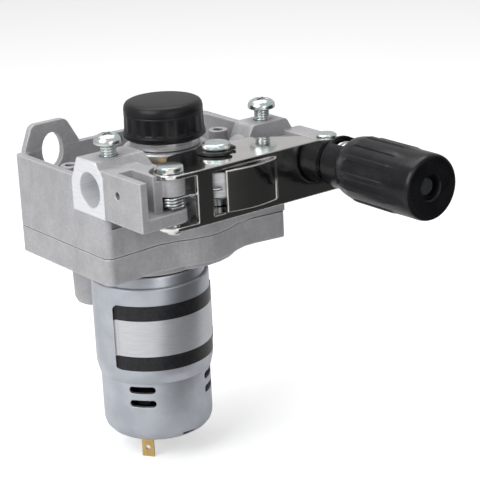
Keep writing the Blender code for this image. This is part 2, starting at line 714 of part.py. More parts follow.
def left_bracket():
    """The pocket and the two knuckles that carry the arm's pivot pin."""
    half, low, top = KNUCKLE_HALF_WIDTH, BRACKET_LOW, BRACKET_TOP
    front, rear = BRACKET_FRONT_Y, FRONT_Y + MM
    rib_left, rib_right = BRACKET_RIB_X - 3.5 * MM, BRACKET_RIB_X + 3.4 * MM
    walls = plate(
        "bracket_walls",
        [(LEFT_X, front), (LEFT_X + TRAY_WALL, front), (LEFT_X + TRAY_WALL, FRONT_Y - 6 * MM),
         (rib_left, FRONT_Y - 6 * MM), (rib_left, front + 5 * MM), (rib_right, front + 5 * MM),
         (rib_right, rear), (LEFT_X, rear)],
        low, top)
    cut(walls, drum("rib_relief", ARM_EYE_RADIUS + 1.5 * MM, KNUCKLE_TOP, top + MM,
                    (PIVOT_X, PIVOT_Y, 0)))
    shelf = plate(
        "bracket_shelf",
        rounded([(LEFT_X, front, 1 * MM), (PIVOT_X + 3 * MM, front + 0.5 * MM, 5 * MM),
                 (PIVOT_X + half, PIVOT_Y + 0.6 * MM, 3 * MM), (PIVOT_X + half, rear, 0),
                 (LEFT_X, rear, 0)]),
        low, SPRING_GAP_LOW)
    knuckle = plate(
        "bracket_knuckle",
        rounded([(PIVOT_X - half, PIVOT_Y - half, half - 0.1 * MM),
                 (PIVOT_X + half, PIVOT_Y - half, half - 0.1 * MM),
                 (PIVOT_X + half, rear, 0), (PIVOT_X - half, rear, 0)]),
        SPRING_GAP_LOW - MM, KNUCKLE_TOP)
    return [walls, shelf, knuckle]


def right_bracket():
    """The two ears that carry the tension handle's hinge pin."""
    outline = rounded([
        (HINGE_X - EAR_RADIUS, HINGE_Y - EAR_RADIUS, EAR_RADIUS - 0.05 * MM),
        (HINGE_X + EAR_RADIUS, HINGE_Y - EAR_RADIUS, EAR_RADIUS - 0.05 * MM),
        (HINGE_X + EAR_RADIUS, FRONT_Y + 4 * MM, 1 * MM),
        (HINGE_X - EAR_RADIUS, FRONT_Y + 4 * MM, 1 * MM),
    ])
    ears = plate("bracket_ears", outline, EAR_LOW, EAR_HIGH)
    gap = block("ear_gap", (HINGE_X - 12 * MM, HINGE_Y - 10 * MM, ROD_Z - ROD_EYE_RADIUS - GAP),
                (HINGE_X + 12 * MM, HINGE_Y + ROD_EYE_RADIUS + 2 * MM,
                 ROD_Z + ROD_EYE_RADIUS + GAP))
    cut(ears, gap)
    half = EAR_RADIUS - 0.3 * MM
    foot = block("bracket_foot", (HINGE_X - half, HINGE_Y + 9 * MM, DECK_LOW - MM),
                 (HINGE_X + half, FRONT_Y + 3 * MM, EAR_LOW + MM))
    return [ears, foot]


# ---------------------------------------------------------------- gears and shafts

def involute(angle):
    return tan(angle) - angle


def gear_outline(teeth, module, phase):
    """A gear's outline. Phase is the direction in degrees of one tooth's middle."""
    pressure = radians(20)
    pitch = teeth * module / 2
    base = pitch * cos(pressure)
    tip = pitch + 0.85 * module
    root = pitch - 1.2 * module
    half_pitch = pi / (2 * teeth) - BACKLASH / (2 * pitch)

    def half_angle(radius):
        return half_pitch + involute(pressure) - involute(acos(min(1, base / radius)))

    flank = [(root, half_angle(max(base, root))), (tip, half_angle(tip))]
    if teeth < FEW_TEETH:
        flank.insert(1, (pitch, half_angle(pitch)))
    outline = []
    for tooth in range(teeth):
        middle = radians(phase) + 2 * pi * tooth / teeth
        for radius, half in flank:
            outline.append((radius * cos(middle - half), radius * sin(middle - half)))
        for radius, half in reversed(flank):
            outline.append((radius * cos(middle + half), radius * sin(middle + half)))
    return outline


def direction(start, end):
    """The direction from one centre to another, in degrees."""
    return degrees(atan2(end.y - start.y, end.x - start.x))


def gears():
    to_idler = direction(MOTOR, IDLER)
    pinion = plate("motor_pinion", gear_outline(PINION_TEETH, FAST_MODULE, to_idler),
                   FAST_LOW, FAST_HIGH, (*MOTOR, 0))
    cut(pinion, drum("pinion_bore", MOTOR_SHAFT_RADIUS + 0.02 * MM, 0, FAST_HIGH + MM,
                     (*MOTOR, 0), sides=SMALL_SIDES))
    finish(pinion, STEEL)

    wheel_phase = to_idler + 180 + 180 / WHEEL_TEETH
    wheel = plate("idler_gear", gear_outline(WHEEL_TEETH, FAST_MODULE, wheel_phase),
                  FAST_LOW, FAST_HIGH, (*IDLER, 0))
    to_drive = direction(IDLER, DRIVE)
    join(wheel, plate("idler_pinion", gear_outline(IDLER_TEETH, SLOW_MODULE, to_drive),
                      FAST_HIGH - 0.5 * MM, SLOW_HIGH - GAP, (*IDLER, 0)))
    cut(wheel, drum("idler_bore", IDLER_AXLE_RADIUS + 0.05 * MM, FAST_LOW - MM, SLOW_HIGH + MM,
                    (*IDLER, 0), sides=SMALL_SIDES))
    finish(wheel, STEEL)

    output_phase = to_drive + 180 + 180 / OUTPUT_TEETH
    output = plate("output_gear", gear_outline(OUTPUT_TEETH, SLOW_MODULE, output_phase),
                   SLOW_LOW, SLOW_HIGH - GAP, (*DRIVE, 0))
    cut(output, drum("output_bore", DRIVE_SHAFT_RADIUS + FIT, SLOW_LOW - MM,
                     SLOW_HIGH + MM, (*DRIVE, 0), sides=SMALL_SIDES),
        block("output_keyway", (-KEY_WIDTH / 2 - FIT, 0, SLOW_LOW - MM),
              (KEY_WIDTH / 2 + FIT, DRIVE_SHAFT_RADIUS + KEY_RISE, SLOW_HIGH + MM),
              (*DRIVE, 0)))
    finish(output, STEEL)
    return pinion, wheel, output


def shafts():
    axle = drum("idler_axle", IDLER_AXLE_RADIUS, 2 * GAP, DECK_TOP - MM - GAP, (*IDLER, 0),
                sides=SMALL_SIDES)
    finish(axle, STEEL)

    shaft = turned(
        "drive_shaft",
        [(0, DRIVE_SHAFT_TOP), (DRIVE_SHAFT_RADIUS - 0.6 * MM, DRIVE_SHAFT_TOP),
         (DRIVE_SHAFT_RADIUS, DRIVE_SHAFT_TOP - 0.6 * MM), (DRIVE_SHAFT_RADIUS, SHAFT_LOW),
         (0, SHAFT_LOW)],
        (*DRIVE, 0), sides=MIDDLE_SIDES)
    cut(shaft, block(
        "key_slot", (-KEY_WIDTH / 2 - FIT, DRIVE_SHAFT_RADIUS - KEY_DEPTH, SLOW_LOW),
        (KEY_WIDTH / 2 + FIT, DRIVE_SHAFT_RADIUS + MM, SLOW_HIGH - GAP), (*DRIVE, 0)))
    finish(shaft, STEEL)
    key = block(
        "drive_key", (-KEY_WIDTH / 2, DRIVE_SHAFT_RADIUS - KEY_DEPTH + FIT, SLOW_LOW + FIT),
        (KEY_WIDTH / 2, DRIVE_SHAFT_RADIUS + KEY_RISE - FIT, SLOW_HIGH - 2 * GAP), (*DRIVE, 0))
    finish(key, STEEL)

    for name, low, high in (("shaft_bush_lower", SHAFT_LOW, FAST_HIGH),
                            ("shaft_bush_upper", SLOW_HIGH + GAP, BOSS_TOP)):
        finish(turned(name, [(BUSH_BORE, high), (BUSH_RADIUS, high), (BUSH_RADIUS, low),
                             (BUSH_BORE, low)], (*DRIVE, 0), sides=MIDDLE_SIDES, ring=True), BRONZE)
    return shaft, key


def cover_screws():
    for number, place in enumerate(cover_screw_places(), 1):
        screw = turned(
            f"cover_screw_{number}",
            [(0, COVER_SCREW_TIP), (COVER_SCREW_RADIUS - 0.4 * MM, COVER_SCREW_TIP),
             (COVER_SCREW_RADIUS, COVER_SCREW_TIP - 0.5 * MM),
             (COVER_SCREW_RADIUS, COVER_HEAD_DEPTH - GAP),
             (COVER_HEAD_RADIUS, COVER_HEAD_DEPTH - GAP), (COVER_HEAD_RADIUS, 0.5 * MM),
             (0, 0.5 * MM)],
            (*place, 0), sides=HOLE_SIDES)
        cut(screw, drum("cover_screw_socket", COVER_SOCKET, 0, 1.5 * MM, (*place, 0), sides=6))
        finish(screw, ZINC)


# ---------------------------------------------------------------- rolls and knob

def drive_roll():
    middle, groove = WIRE_Z, ROLL_GROOVE
    bore = DRIVE_SHAFT_RADIUS + FIT
    roll = turned(
        "drive_roll",
        [(bore, ROLL_HIGH), (ROLL_RADIUS - 0.5 * MM, ROLL_HIGH),
         (ROLL_RADIUS, ROLL_HIGH - 0.5 * MM), (ROLL_RADIUS, middle + groove),
         (ROLL_RADIUS - groove, middle), (ROLL_RADIUS, middle - groove),
         (ROLL_RADIUS, ROLL_LOW + 0.5 * MM), (ROLL_RADIUS - 0.5 * MM, ROLL_LOW),
         (bore, ROLL_LOW)],
        (*DRIVE, 0), ring=True)
    finish(roll, STEEL)
    collar = turned(
        "roll_collar",
        [(bore, KNOB_BOTTOM - GAP), (COLLAR_RADIUS, KNOB_BOTTOM - GAP),
         (COLLAR_RADIUS, ROLL_HIGH + GAP), (bore, ROLL_HIGH + GAP)],
        (*DRIVE, 0), ring=True)
    finish(collar, STEEL)
    return roll, collar


def roll_knob():
    bore = DRIVE_SHAFT_RADIUS + FIT
    low = KNOB_BOTTOM + GAP
    high = DRIVE_SHAFT_TOP
    insert = turned(
        "knob_insert",
        [(bore, high), (INSERT_RADIUS, high), (INSERT_RADIUS, low), (bore, low)],
        (*DRIVE, 0), sides=MIDDLE_SIDES, ring=True)
    finish(insert, BRASS)
    pocket, edge = INSERT_RADIUS + GAP, 1.4 * MM
    knob = turned(
        "roll_knob",
        [(0, KNOB_TOP), (KNOB_RADIUS - 2 * MM, KNOB_TOP),
         (KNOB_RADIUS - 1.1 * MM, KNOB_TOP - 0.5 * MM),
         (KNOB_RADIUS - 0.7 * MM, KNOB_TOP - edge), (KNOB_RADIUS, KNOB_BOTTOM + 0.8 * MM),
         (KNOB_RADIUS - 0.7 * MM, KNOB_BOTTOM), (pocket, KNOB_BOTTOM), (pocket, high + GAP),
         (0, high + GAP)],
        (*DRIVE, 0))
    finish(knob, BLACK)
    return insert, knob


# ---------------------------------------------------------------- pressure arm

def pressure_arm():
    eye = ARM_EYE_RADIUS - 0.05 * MM
    rear = [(-14 * MM, ARM_REAR_Y, 3 * MM), (-50 * MM, ARM_REAR_Y, 6 * MM),
            (PIVOT_X + 2.5 * MM, PIVOT_Y + ARM_EYE_RADIUS, 4 * MM),
            (PIVOT_X - ARM_EYE_RADIUS, PIVOT_Y + ARM_EYE_RADIUS, eye),
            (PIVOT_X - ARM_EYE_RADIUS, PIVOT_Y - ARM_EYE_RADIUS, eye)]
    front = [(WEB_LEFT_X, WEB_Y, 1 * MM)]
    top = plate("pressure_arm", rounded(front + [(ARM_RIGHT_X - 0.4 * MM, WEB_Y, 0.5 * MM),
                                                 (ARM_RIGHT_X, ARM_RIGHT_Y, 1.5 * MM)] + rear),
                ARM_TOP - SHEET, ARM_TOP)
    bottom = plate("arm_bottom", rounded(
        front + [(FORK_RIGHT_X, WEB_Y, 0), (FORK_RIGHT_X, WEB_Y + 6 * MM, 2 * MM),
                 (ARM_RIGHT_X, ARM_RIGHT_Y, 3 * MM)] + rear),
        ARM_BOTTOM, ARM_BOTTOM + SHEET)
    web = plate("arm_web", rounded([(WEB_LEFT_X, ARM_BOTTOM, 0.5 * MM),
                                    (FORK_RIGHT_X, ARM_BOTTOM, 0),
                                    (FORK_RIGHT_X, ARM_TOP - 1.5 * MM, 2 * MM),
                                    (ARM_RIGHT_X, ARM_TOP, 2 * MM),
                                    (WEB_LEFT_X, ARM_TOP, 0.5 * MM)]),
                -WEB_Y - SHEET, -WEB_Y, turn=(90, 0, 0))
    window = block("arm_window", (WINDOW_LEFT_X, WEB_Y - MM, TONGUE_LOW - 0.4 * MM),
                   (TONGUE_RIGHT_X, WEB_Y + 3 * MM, TONGUE_HIGH + 0.4 * MM))
    slot = block("arm_fork_slot", (HINGE_X - ROD_RADIUS - 1.2 * MM, WEB_Y - MM,
                                   ROD_Z - ROD_RADIUS - 0.7 * MM),
                 (FORK_RIGHT_X + MM, WEB_Y + 3 * MM, ROD_Z + ROD_RADIUS + 0.7 * MM))
    cut(web, window, slot)
    join(top, bottom, web, tongue())
    cut(top, drum("arm_pivot_hole", PIVOT_RADIUS + FIT, ARM_BOTTOM - MM, ARM_TOP + MM,
                  (PIVOT_X, PIVOT_Y, 0), sides=SMALL_SIDES),
        drum("arm_roller_hole", ROLLER_PIN_RADIUS + GAP, ARM_BOTTOM - MM, ARM_TOP + MM,
             (DRIVE_X, ROLLER_Y, 0), sides=SMALL_SIDES))
    return finish(top, NICKEL)


def tongue():
    """The web's pressed tongue, which bows out round the roller."""
    half = (TONGUE_RIGHT_X - TONGUE_LEFT_X) / 2
    middle = (TONGUE_RIGHT_X + TONGUE_LEFT_X) / 2
    crest = ROLLER_Y - ROLL_RADIUS - GAP - TONGUE_SHEET - 0.2 * MM
    edge = WEB_Y - 0.9 * MM
    sag = edge - crest
    radius = (half ** 2 + sag ** 2) / (2 * sag)
    swing = degrees(atan2(half, radius - sag))
    centre = (middle, crest + radius)
    outer = arc(centre, radius, -90 - swing, -90 + swing, 12)
    inner = arc(centre, radius - TONGUE_SHEET, -90 + swing, -90 - swing, 12)
    root = [(TONGUE_RIGHT_X + 1.2 * MM, WEB_Y + 0.2 * MM),
            (TONGUE_RIGHT_X + 1.2 * MM, WEB_Y + SHEET)]
    return plate("arm_tongue", outer + root + inner[1:], TONGUE_LOW, TONGUE_HIGH)


def arm_pivot():
    pin = turned(
        "pivot_pin",
        [(0, PIVOT_TOP), (PIVOT_HEAD - 0.6 * MM, PIVOT_TOP), (PIVOT_HEAD, PIVOT_TOP - 0.5 * MM),
         (PIVOT_HEAD, ARM_TOP + GAP), (PIVOT_RADIUS, ARM_TOP + GAP),
         (PIVOT_RADIUS, PIVOT_LOW + 1.5 * MM), (PIVOT_RADIUS - 0.7 * MM, PIVOT_LOW + 0.5 * MM),
         (PIVOT_RADIUS - 1.8 * MM, PIVOT_LOW), (0, PIVOT_LOW)],
        (PIVOT_X, PIVOT_Y, 0), sides=MIDDLE_SIDES)
    finish(pin, ZINC)
    turns, per_turn = TORSION_TURNS, 12
    rise = (SPRING_GAP_HIGH - SPRING_GAP_LOW - 3 * TORSION_WIRE) / turns
    low = SPRING_GAP_LOW + 1.4 * TORSION_WIRE
    leg_turn = 270
    coil = []
    for step in range(turns * per_turn + 1):
        angle = radians(leg_turn) + 2 * pi * step / per_turn
        coil.append((TORSION_COIL_RADIUS * cos(angle), TORSION_COIL_RADIUS * sin(angle),
                     low + rise * step / per_turn))
    top = coil[-1][2]
    leg_y = -TORSION_COIL_RADIUS
    upper_leg = [(5 * MM, leg_y, top), (13.9 * MM, leg_y, top),
                 (16 * MM, leg_y - 1.3 * MM, top), (17.5 * MM, leg_y - 1.6 * MM, top)]
    lower_leg = [(-TORSION_COIL_RADIUS + MM, -TORSION_COIL_RADIUS - 0.1 * MM, low)]
    spring = wire("torsion_spring", lower_leg + coil + upper_leg, TORSION_WIRE,
                  (PIVOT_X, PIVOT_Y, 0))
    finish(spring, SPRING_STEEL)
    return pin, spring


def pressure_roller():
    place = (DRIVE_X, ROLLER_Y, 0)
    roller = turned(
        "pressure_roller",
        [(BEARING_RADIUS + FIT, ROLL_HIGH), (ROLL_RADIUS - 0.5 * MM, ROLL_HIGH),
         (ROLL_RADIUS, ROLL_HIGH - 0.5 * MM), (ROLL_RADIUS, ROLL_LOW + 0.5 * MM),
         (ROLL_RADIUS - 0.5 * MM, ROLL_LOW), (BEARING_RADIUS + FIT, ROLL_LOW)],
        place, ring=True)
    finish(roller, STEEL)
    half = BEARING_WIDTH / 2
    bore, inner = ROLLER_PIN_RADIUS + FIT, SPACER_RADIUS + 0.6 * MM
    outer = BEARING_RADIUS - 1.6 * MM
    top = [(bore, half), (inner, half), (inner, half - 0.5 * MM), (outer, half - 0.5 * MM),
           (outer, half), (BEARING_RADIUS, half)]
    bearing = turned(
        "roller_bearing",
        [(radius, WIRE_Z + height) for radius, height in top]
        + [(radius, WIRE_Z - height) for radius, height in reversed(top)],
        place, sides=MIDDLE_SIDES, ring=True)
    finish(bearing, STEEL)
    spacers = []
    for name, low, high in (
        ("roller_spacer_upper", WIRE_Z + half + GAP, ARM_TOP - SHEET - GAP),
        ("roller_spacer_lower", ARM_BOTTOM + SHEET + GAP, WIRE_Z - half - GAP),
    ):
        outline = [(bore, high), (SPACER_RADIUS, high), (SPACER_RADIUS, low), (bore, low)]
        spacers.append(finish(turned(name, outline, place, sides=MIDDLE_SIDES, ring=True), ZINC))
    clip_low, clip_high = ARM_TOP + GAP, ARM_TOP + GAP + CLIP_THICKNESS
    pin = turned(
        "roller_pin",
        [(0, ROLLER_PIN_TOP), (ROLLER_PIN_HEAD - 0.8 * MM, ROLLER_PIN_TOP),
         (ROLLER_PIN_HEAD, ROLLER_PIN_TOP - 0.6 * MM), (ROLLER_PIN_HEAD, clip_high + GAP),
         (ROLLER_PIN_NECK, clip_high + GAP), (ROLLER_PIN_NECK, clip_low - FIT),
         (ROLLER_PIN_RADIUS, clip_low - FIT), (ROLLER_PIN_RADIUS, ROLLER_PIN_LOW + 0.6 * MM),
         (ROLLER_PIN_RADIUS - 0.6 * MM, ROLLER_PIN_LOW), (0, ROLLER_PIN_LOW)],
        place, sides=MIDDLE_SIDES)
    finish(pin, ZINC)
    clip = plate("roller_clip", arc((0, 0), CLIP_RADIUS, 25, 335, 20)
                 + arc((0, 0), ROLLER_PIN_NECK + 2 * FIT, 325, 35, 16),
                 clip_low, clip_high, place, (0, 0, -50))
    finish(clip, BLACK)
    return roller, bearing, spacers, pin, clip


# ---------------------------------------------------------------- tension handle

def on_rod(name, profile, sides=SIDES, ring=False):
    """A piece turned about the rod, with its heights measured from the hinge."""
    return turned(name, profile, (HINGE_X, HINGE_Y, ROD_Z), (90, 0, 0), sides, ring)


def tension_handle():
    place, along = (HINGE_X, HINGE_Y, ROD_Z), (90, 0, 0)
    pin_top, pin_low = EAR_HIGH + HINGE_PIN_RISE, EAR_LOW - 1.2 * MM
    pin = turned(
        "hinge_pin",
        [(0, pin_top), (HINGE_PIN_HEAD - 0.6 * MM, pin_top),
         (HINGE_PIN_HEAD, pin_top - 0.5 * MM), (HINGE_PIN_HEAD, EAR_HIGH + GAP),
         (HINGE_PIN_RADIUS, EAR_HIGH + GAP), (HINGE_PIN_RADIUS, pin_low), (0, pin_low)],
        (HINGE_X, HINGE_Y, 0), sides=MIDDLE_SIDES)
    finish(pin, ZINC)

    rod = drum("tension_rod", ROD_RADIUS, 0, ROD_END, place, along, MIDDLE_SIDES)
    join(rod, drum("rod_eye", ROD_EYE_RADIUS, -ROD_EYE_RADIUS, ROD_EYE_RADIUS,
                   (HINGE_X, HINGE_Y, ROD_Z), sides=MIDDLE_SIDES))
    cut(rod, drum("rod_eye_hole", HINGE_PIN_RADIUS + FIT, -8 * MM, 8 * MM, place,
                  sides=SMALL_SIDES))
    finish(rod, ZINC)

    inner = SLEEVE_RADIUS - SLEEVE_WALL
    bore = ROD_RADIUS + 0.15 * MM
    sleeve = on_rod(
        "tension_sleeve",
        [(inner, SLEEVE_END), (SLEEVE_RADIUS, SLEEVE_END), (SLEEVE_RADIUS, SLEEVE_START + MM),
         (SLEEVE_RADIUS - MM, SLEEVE_START), (bore, SLEEVE_START),
         (bore, SLEEVE_START + SLEEVE_FLOOR), (inner, SLEEVE_START + SLEEVE_FLOOR)], ring=True)
    half = SLEEVE_WINDOW / 2
    cut(sleeve, block("sleeve_window", (-half, half, SLEEVE_START + SLEEVE_FLOOR + 0.5 * MM),
                      (half, SLEEVE_RADIUS + 2 * MM, SLEEVE_START + SLEEVE_WINDOW_END), place,
                      along))
    finish(sleeve, BLACK)

    spring_low = SLEEVE_START + SLEEVE_FLOOR + GAP + TENSION_WIRE
    spring_high = WASHER_LOW - GAP - TENSION_WIRE
    turns, per_turn = TENSION_TURNS, 12
    coil = [
        (TENSION_COIL_RADIUS * cos(2 * pi * i / per_turn),
         TENSION_COIL_RADIUS * sin(2 * pi * i / per_turn),
         spring_low + (spring_high - spring_low) * i / (turns * per_turn))
        for i in range(turns * per_turn + 1)
    ]
    spring = wire("tension_spring", coil, TENSION_WIRE, place, along)
    finish(spring, SPRING_STEEL)

    washer = on_rod(
        "thrust_washer",
        [(bore, WASHER_HIGH), (SPRING_ROOM - GAP, WASHER_HIGH),
         (SPRING_ROOM - GAP, WASHER_LOW), (bore, WASHER_LOW)], MIDDLE_SIDES, True)
    finish(washer, ZINC)

    nut = drum("tension_nut", NUT_RADIUS, NUT_LOW, NUT_LOW + NUT_LENGTH, place, along, 6)
    cut(nut, drum("tension_nut_bore", bore, NUT_LOW - MM, NUT_LOW + NUT_LENGTH + MM, place, along,
                  SMALL_SIDES))
    finish(nut, ZINC)

    pocket = NUT_RADIUS + GAP
    grip = on_rod(
        "tension_knob",
        [(GRIP_HOLE, GRIP_END), (GRIP_RADIUS - 2.2 * MM, GRIP_END),
         (GRIP_RADIUS - 0.6 * MM, GRIP_END - 0.7 * MM), (GRIP_RADIUS, GRIP_END - 2.4 * MM),
         (GRIP_RADIUS, GRIP_START + 8 * MM), (GRIP_RADIUS - 1.4 * MM, GRIP_START + MM),
         (GRIP_RADIUS - 1.8 * MM, GRIP_START), (SPRING_ROOM, GRIP_START),
         (SPRING_ROOM, WASHER_HIGH + GAP), (pocket, WASHER_HIGH + GAP),
         (pocket, NUT_LOW + NUT_LENGTH + GAP), (GRIP_HOLE, NUT_LOW + NUT_LENGTH + GAP)],
        ring=True)
    finish(grip, BLACK)
    return pin, rod, sleeve, spring, washer, nut, grip


# ---------------------------------------------------------------- clamps and guides

def clamp_screws():
    made = []
    for name, x, boss_top in (("clamp_screw_inlet", INLET_SCREW_X, INLET_TOP),
                              ("clamp_screw_outlet", 0, OUTLET_TOP)):
        low = boss_top + CLAMP_LIFT
        high = low + CLAMP_HEAD_HEIGHT
        tip = WIRE_Z + max(INLET_BORE, OUTLET_BORE) - 0.5 * MM
        screw = turned(
            name,
            [(0, high), (2.6 * MM, high - 0.1 * MM), (4.3 * MM, high - 0.9 * MM),
             (CLAMP_HEAD_RADIUS, low + 1 * MM), (CLAMP_HEAD_RADIUS - 0.3 * MM, low),
             (CLAMP_SCREW_RADIUS, low), (CLAMP_SCREW_RADIUS, tip + 0.5 * MM),
             (CLAMP_SCREW_RADIUS - 0.5 * MM, tip), (0, tip)],
            (x, 0, 0), sides=MIDDLE_SIDES)
        for number, turn in enumerate((20, 110)):
            recess = block(f"{name}_recess_{number}",
                           (-RECESS_LENGTH / 2, -RECESS_WIDTH / 2, high - RECESS_DEPTH),
                           (RECESS_LENGTH / 2, RECESS_WIDTH / 2, high + MM), (x, 0, 0),
                           (0, 0, turn))
            cut(screw, recess)
        made.append(finish(screw, ZINC))
    return made


def wire_guides():
    for name, low, high in (
        ("inlet_guide", INLET_BOSS_END - 5 * MM + GAP, DRIVE_X - 10.5 * MM),
        ("outlet_guide", DRIVE_X + 10.5 * MM, OUTLET_LEFT_X + 6 * MM),
    ):
        guide = turned(
            name,
            [(GUIDE_BORE, high), (GUIDE_RADIUS - 1.2 * MM, high), (GUIDE_RADIUS, high - 3 * MM),
             (GUIDE_RADIUS, low + 3 * MM), (GUIDE_RADIUS - 1.2 * MM, low), (GUIDE_BORE, low)],
            (0, 0, WIRE_Z), (0, 90, 0), sides=SMALL_SIDES, ring=True)
        finish(guide, BRASS)


# ---------------------------------------------------------------- motor

def motor_shell():
    place = (*MOTOR, 0)
    can = turned(
        "motor_can",
        [(0, MOTOR_BOSS_TOP), (MOTOR_BOSS_RADIUS, MOTOR_BOSS_TOP), (MOTOR_BOSS_RADIUS, CAN_TOP),
         (CAN_RADIUS - 1.2 * MM, CAN_TOP), (CAN_RADIUS, CAN_TOP - 1.2 * MM),
         (CAN_RADIUS, CAN_BOTTOM + 3 * MM), (CAN_RADIUS - 0.9 * MM, CAN_BOTTOM + 0.9 * MM),
         (CAN_RADIUS - 2.6 * MM, CAN_BOTTOM), (CAN_RADIUS - 2.6 * MM, CAN_BOTTOM + CAN_WALL),
         (CAN_RADIUS - CAN_WALL, CAN_BOTTOM + 3 * MM), (CAN_RADIUS - CAN_WALL, CAN_TOP - CAN_WALL),
         (0, CAN_TOP - CAN_WALL)],
        place)
    hole = drum("can_bush_hole", MOTOR_SHAFT_RADIUS + 2.3 * MM, CAN_TOP - 4 * MM, 4 * MM, place,
                sides=MIDDLE_SIDES)
    cut(can, hole)
    for place_xy in motor_screw_places():
        cut(can, drum("can_screw_hole", MOTOR_SCREW_RADIUS + GAP, CAN_TOP - 4 * MM,
                      CAN_TOP + MM, (*place_xy, 0), sides=SMALL_SIDES))
    for angle in VENT_ANGLES:
        for low in VENT_LOWS:
            cut(can, block("can_vent", (CAN_RADIUS - 4 * MM, -VENT_WIDTH / 2, low),
                           (CAN_RADIUS + 2 * MM, VENT_WIDTH / 2, low + VENT_HEIGHT), place,
                           (0, 0, angle)))
    finish(can, CAN_STEEL)
    inner = CAN_RADIUS + GAP
    ring = turned(
        "flux_ring",
        [(inner, RING_TOP), (RING_RADIUS - 0.4 * MM, RING_TOP), (RING_RADIUS, RING_TOP - 0.5 * MM),
         (RING_RADIUS, RING_BOTTOM + 4 * MM), (inner + 0.4 * MM, RING_BOTTOM),
         (inner, RING_BOTTOM)],
        place, ring=True)
    finish(ring, CAN_STEEL)
    return can, ring


def motor_inside():
    place = (*MOTOR, 0)
    shaft = drum("motor_shaft", MOTOR_SHAFT_RADIUS, CAP_LOW - 2 * MM, FAST_HIGH, place,
                 sides=SMALL_SIDES)
    finish(shaft, STEEL)
    bore = MOTOR_SHAFT_RADIUS + 0.05 * MM
    core = plate("armature_core", core_outline(), CORE_LOW, CORE_TOP, place)
    cut(core, drum("core_bore", bore, CORE_LOW - MM, CORE_TOP + MM, place, sides=SMALL_SIDES))
    finish(core, STEEL)
    windings = []
    for name, low, high in (("winding_head_upper", CORE_TOP + GAP, CORE_TOP + 6.5 * MM),
                            ("winding_head_lower", CORE_LOW - 6.5 * MM, CORE_LOW - GAP)):
        windings.append(finish(turned(
            name,
            [(4.5 * MM, high), (11.5 * MM, high), (13 * MM, high - 1.5 * MM),
             (13 * MM, low + 1.5 * MM), (11.5 * MM, low), (4.5 * MM, low)],
            place, sides=MIDDLE_SIDES, ring=True), COPPER))
    commutator = turned(
        "commutator",
        [(bore, COMMUTATOR_TOP), (COMMUTATOR_RADIUS, COMMUTATOR_TOP),
         (COMMUTATOR_RADIUS, COMMUTATOR_LOW), (bore, COMMUTATOR_LOW)],
        place, sides=SMALL_SIDES, ring=True)
    finish(commutator, COPPER)
    inner, half = CORE_RADIUS + AIR_GAP, MAGNET_ARC / 2
    for number, middle in ((1, 0), (2, 180)):
        outline = (arc((0, 0), MAGNET_OUTER, middle - half, middle + half, 12)
                   + arc((0, 0), inner, middle + half, middle - half, 12))
        finish(plate(f"magnet_{number}", outline, CORE_LOW - 3 * MM, CORE_TOP + 3 * MM, place),
               FERRITE)
    bush_outer = MOTOR_SHAFT_RADIUS + MOTOR_BUSH_WALL
    for name, low, high in (("motor_bush_upper", CAN_TOP - 3.5 * MM, MOTOR_BOSS_TOP - 0.2 * MM),
                            ("motor_bush_lower", CAP_LOW - 0.2 * MM, CAP_TOP - GAP)):
        finish(turned(name, [(bore, high), (bush_outer, high), (bush_outer, low), (bore, low)],
                      place, sides=SMALL_SIDES, ring=True), BRONZE)
    return shaft, core, windings, commutator


def core_outline():
    """Twelve T-shaped teeth round the core."""
    teeth, outline = 12, []
    for tooth in range(teeth):
        middle = 360 * tooth / teeth
        for radius, turn in ((9 * MM, -9), (12.6 * MM, -5), (13.4 * MM, -12), (CORE_RADIUS, -12),
                             (CORE_RADIUS, 0), (CORE_RADIUS, 12), (13.4 * MM, 12),
                             (12.6 * MM, 5), (9 * MM, 9)):
            angle = radians(middle + turn)
            outline.append((radius * cos(angle), radius * sin(angle)))
    return outline


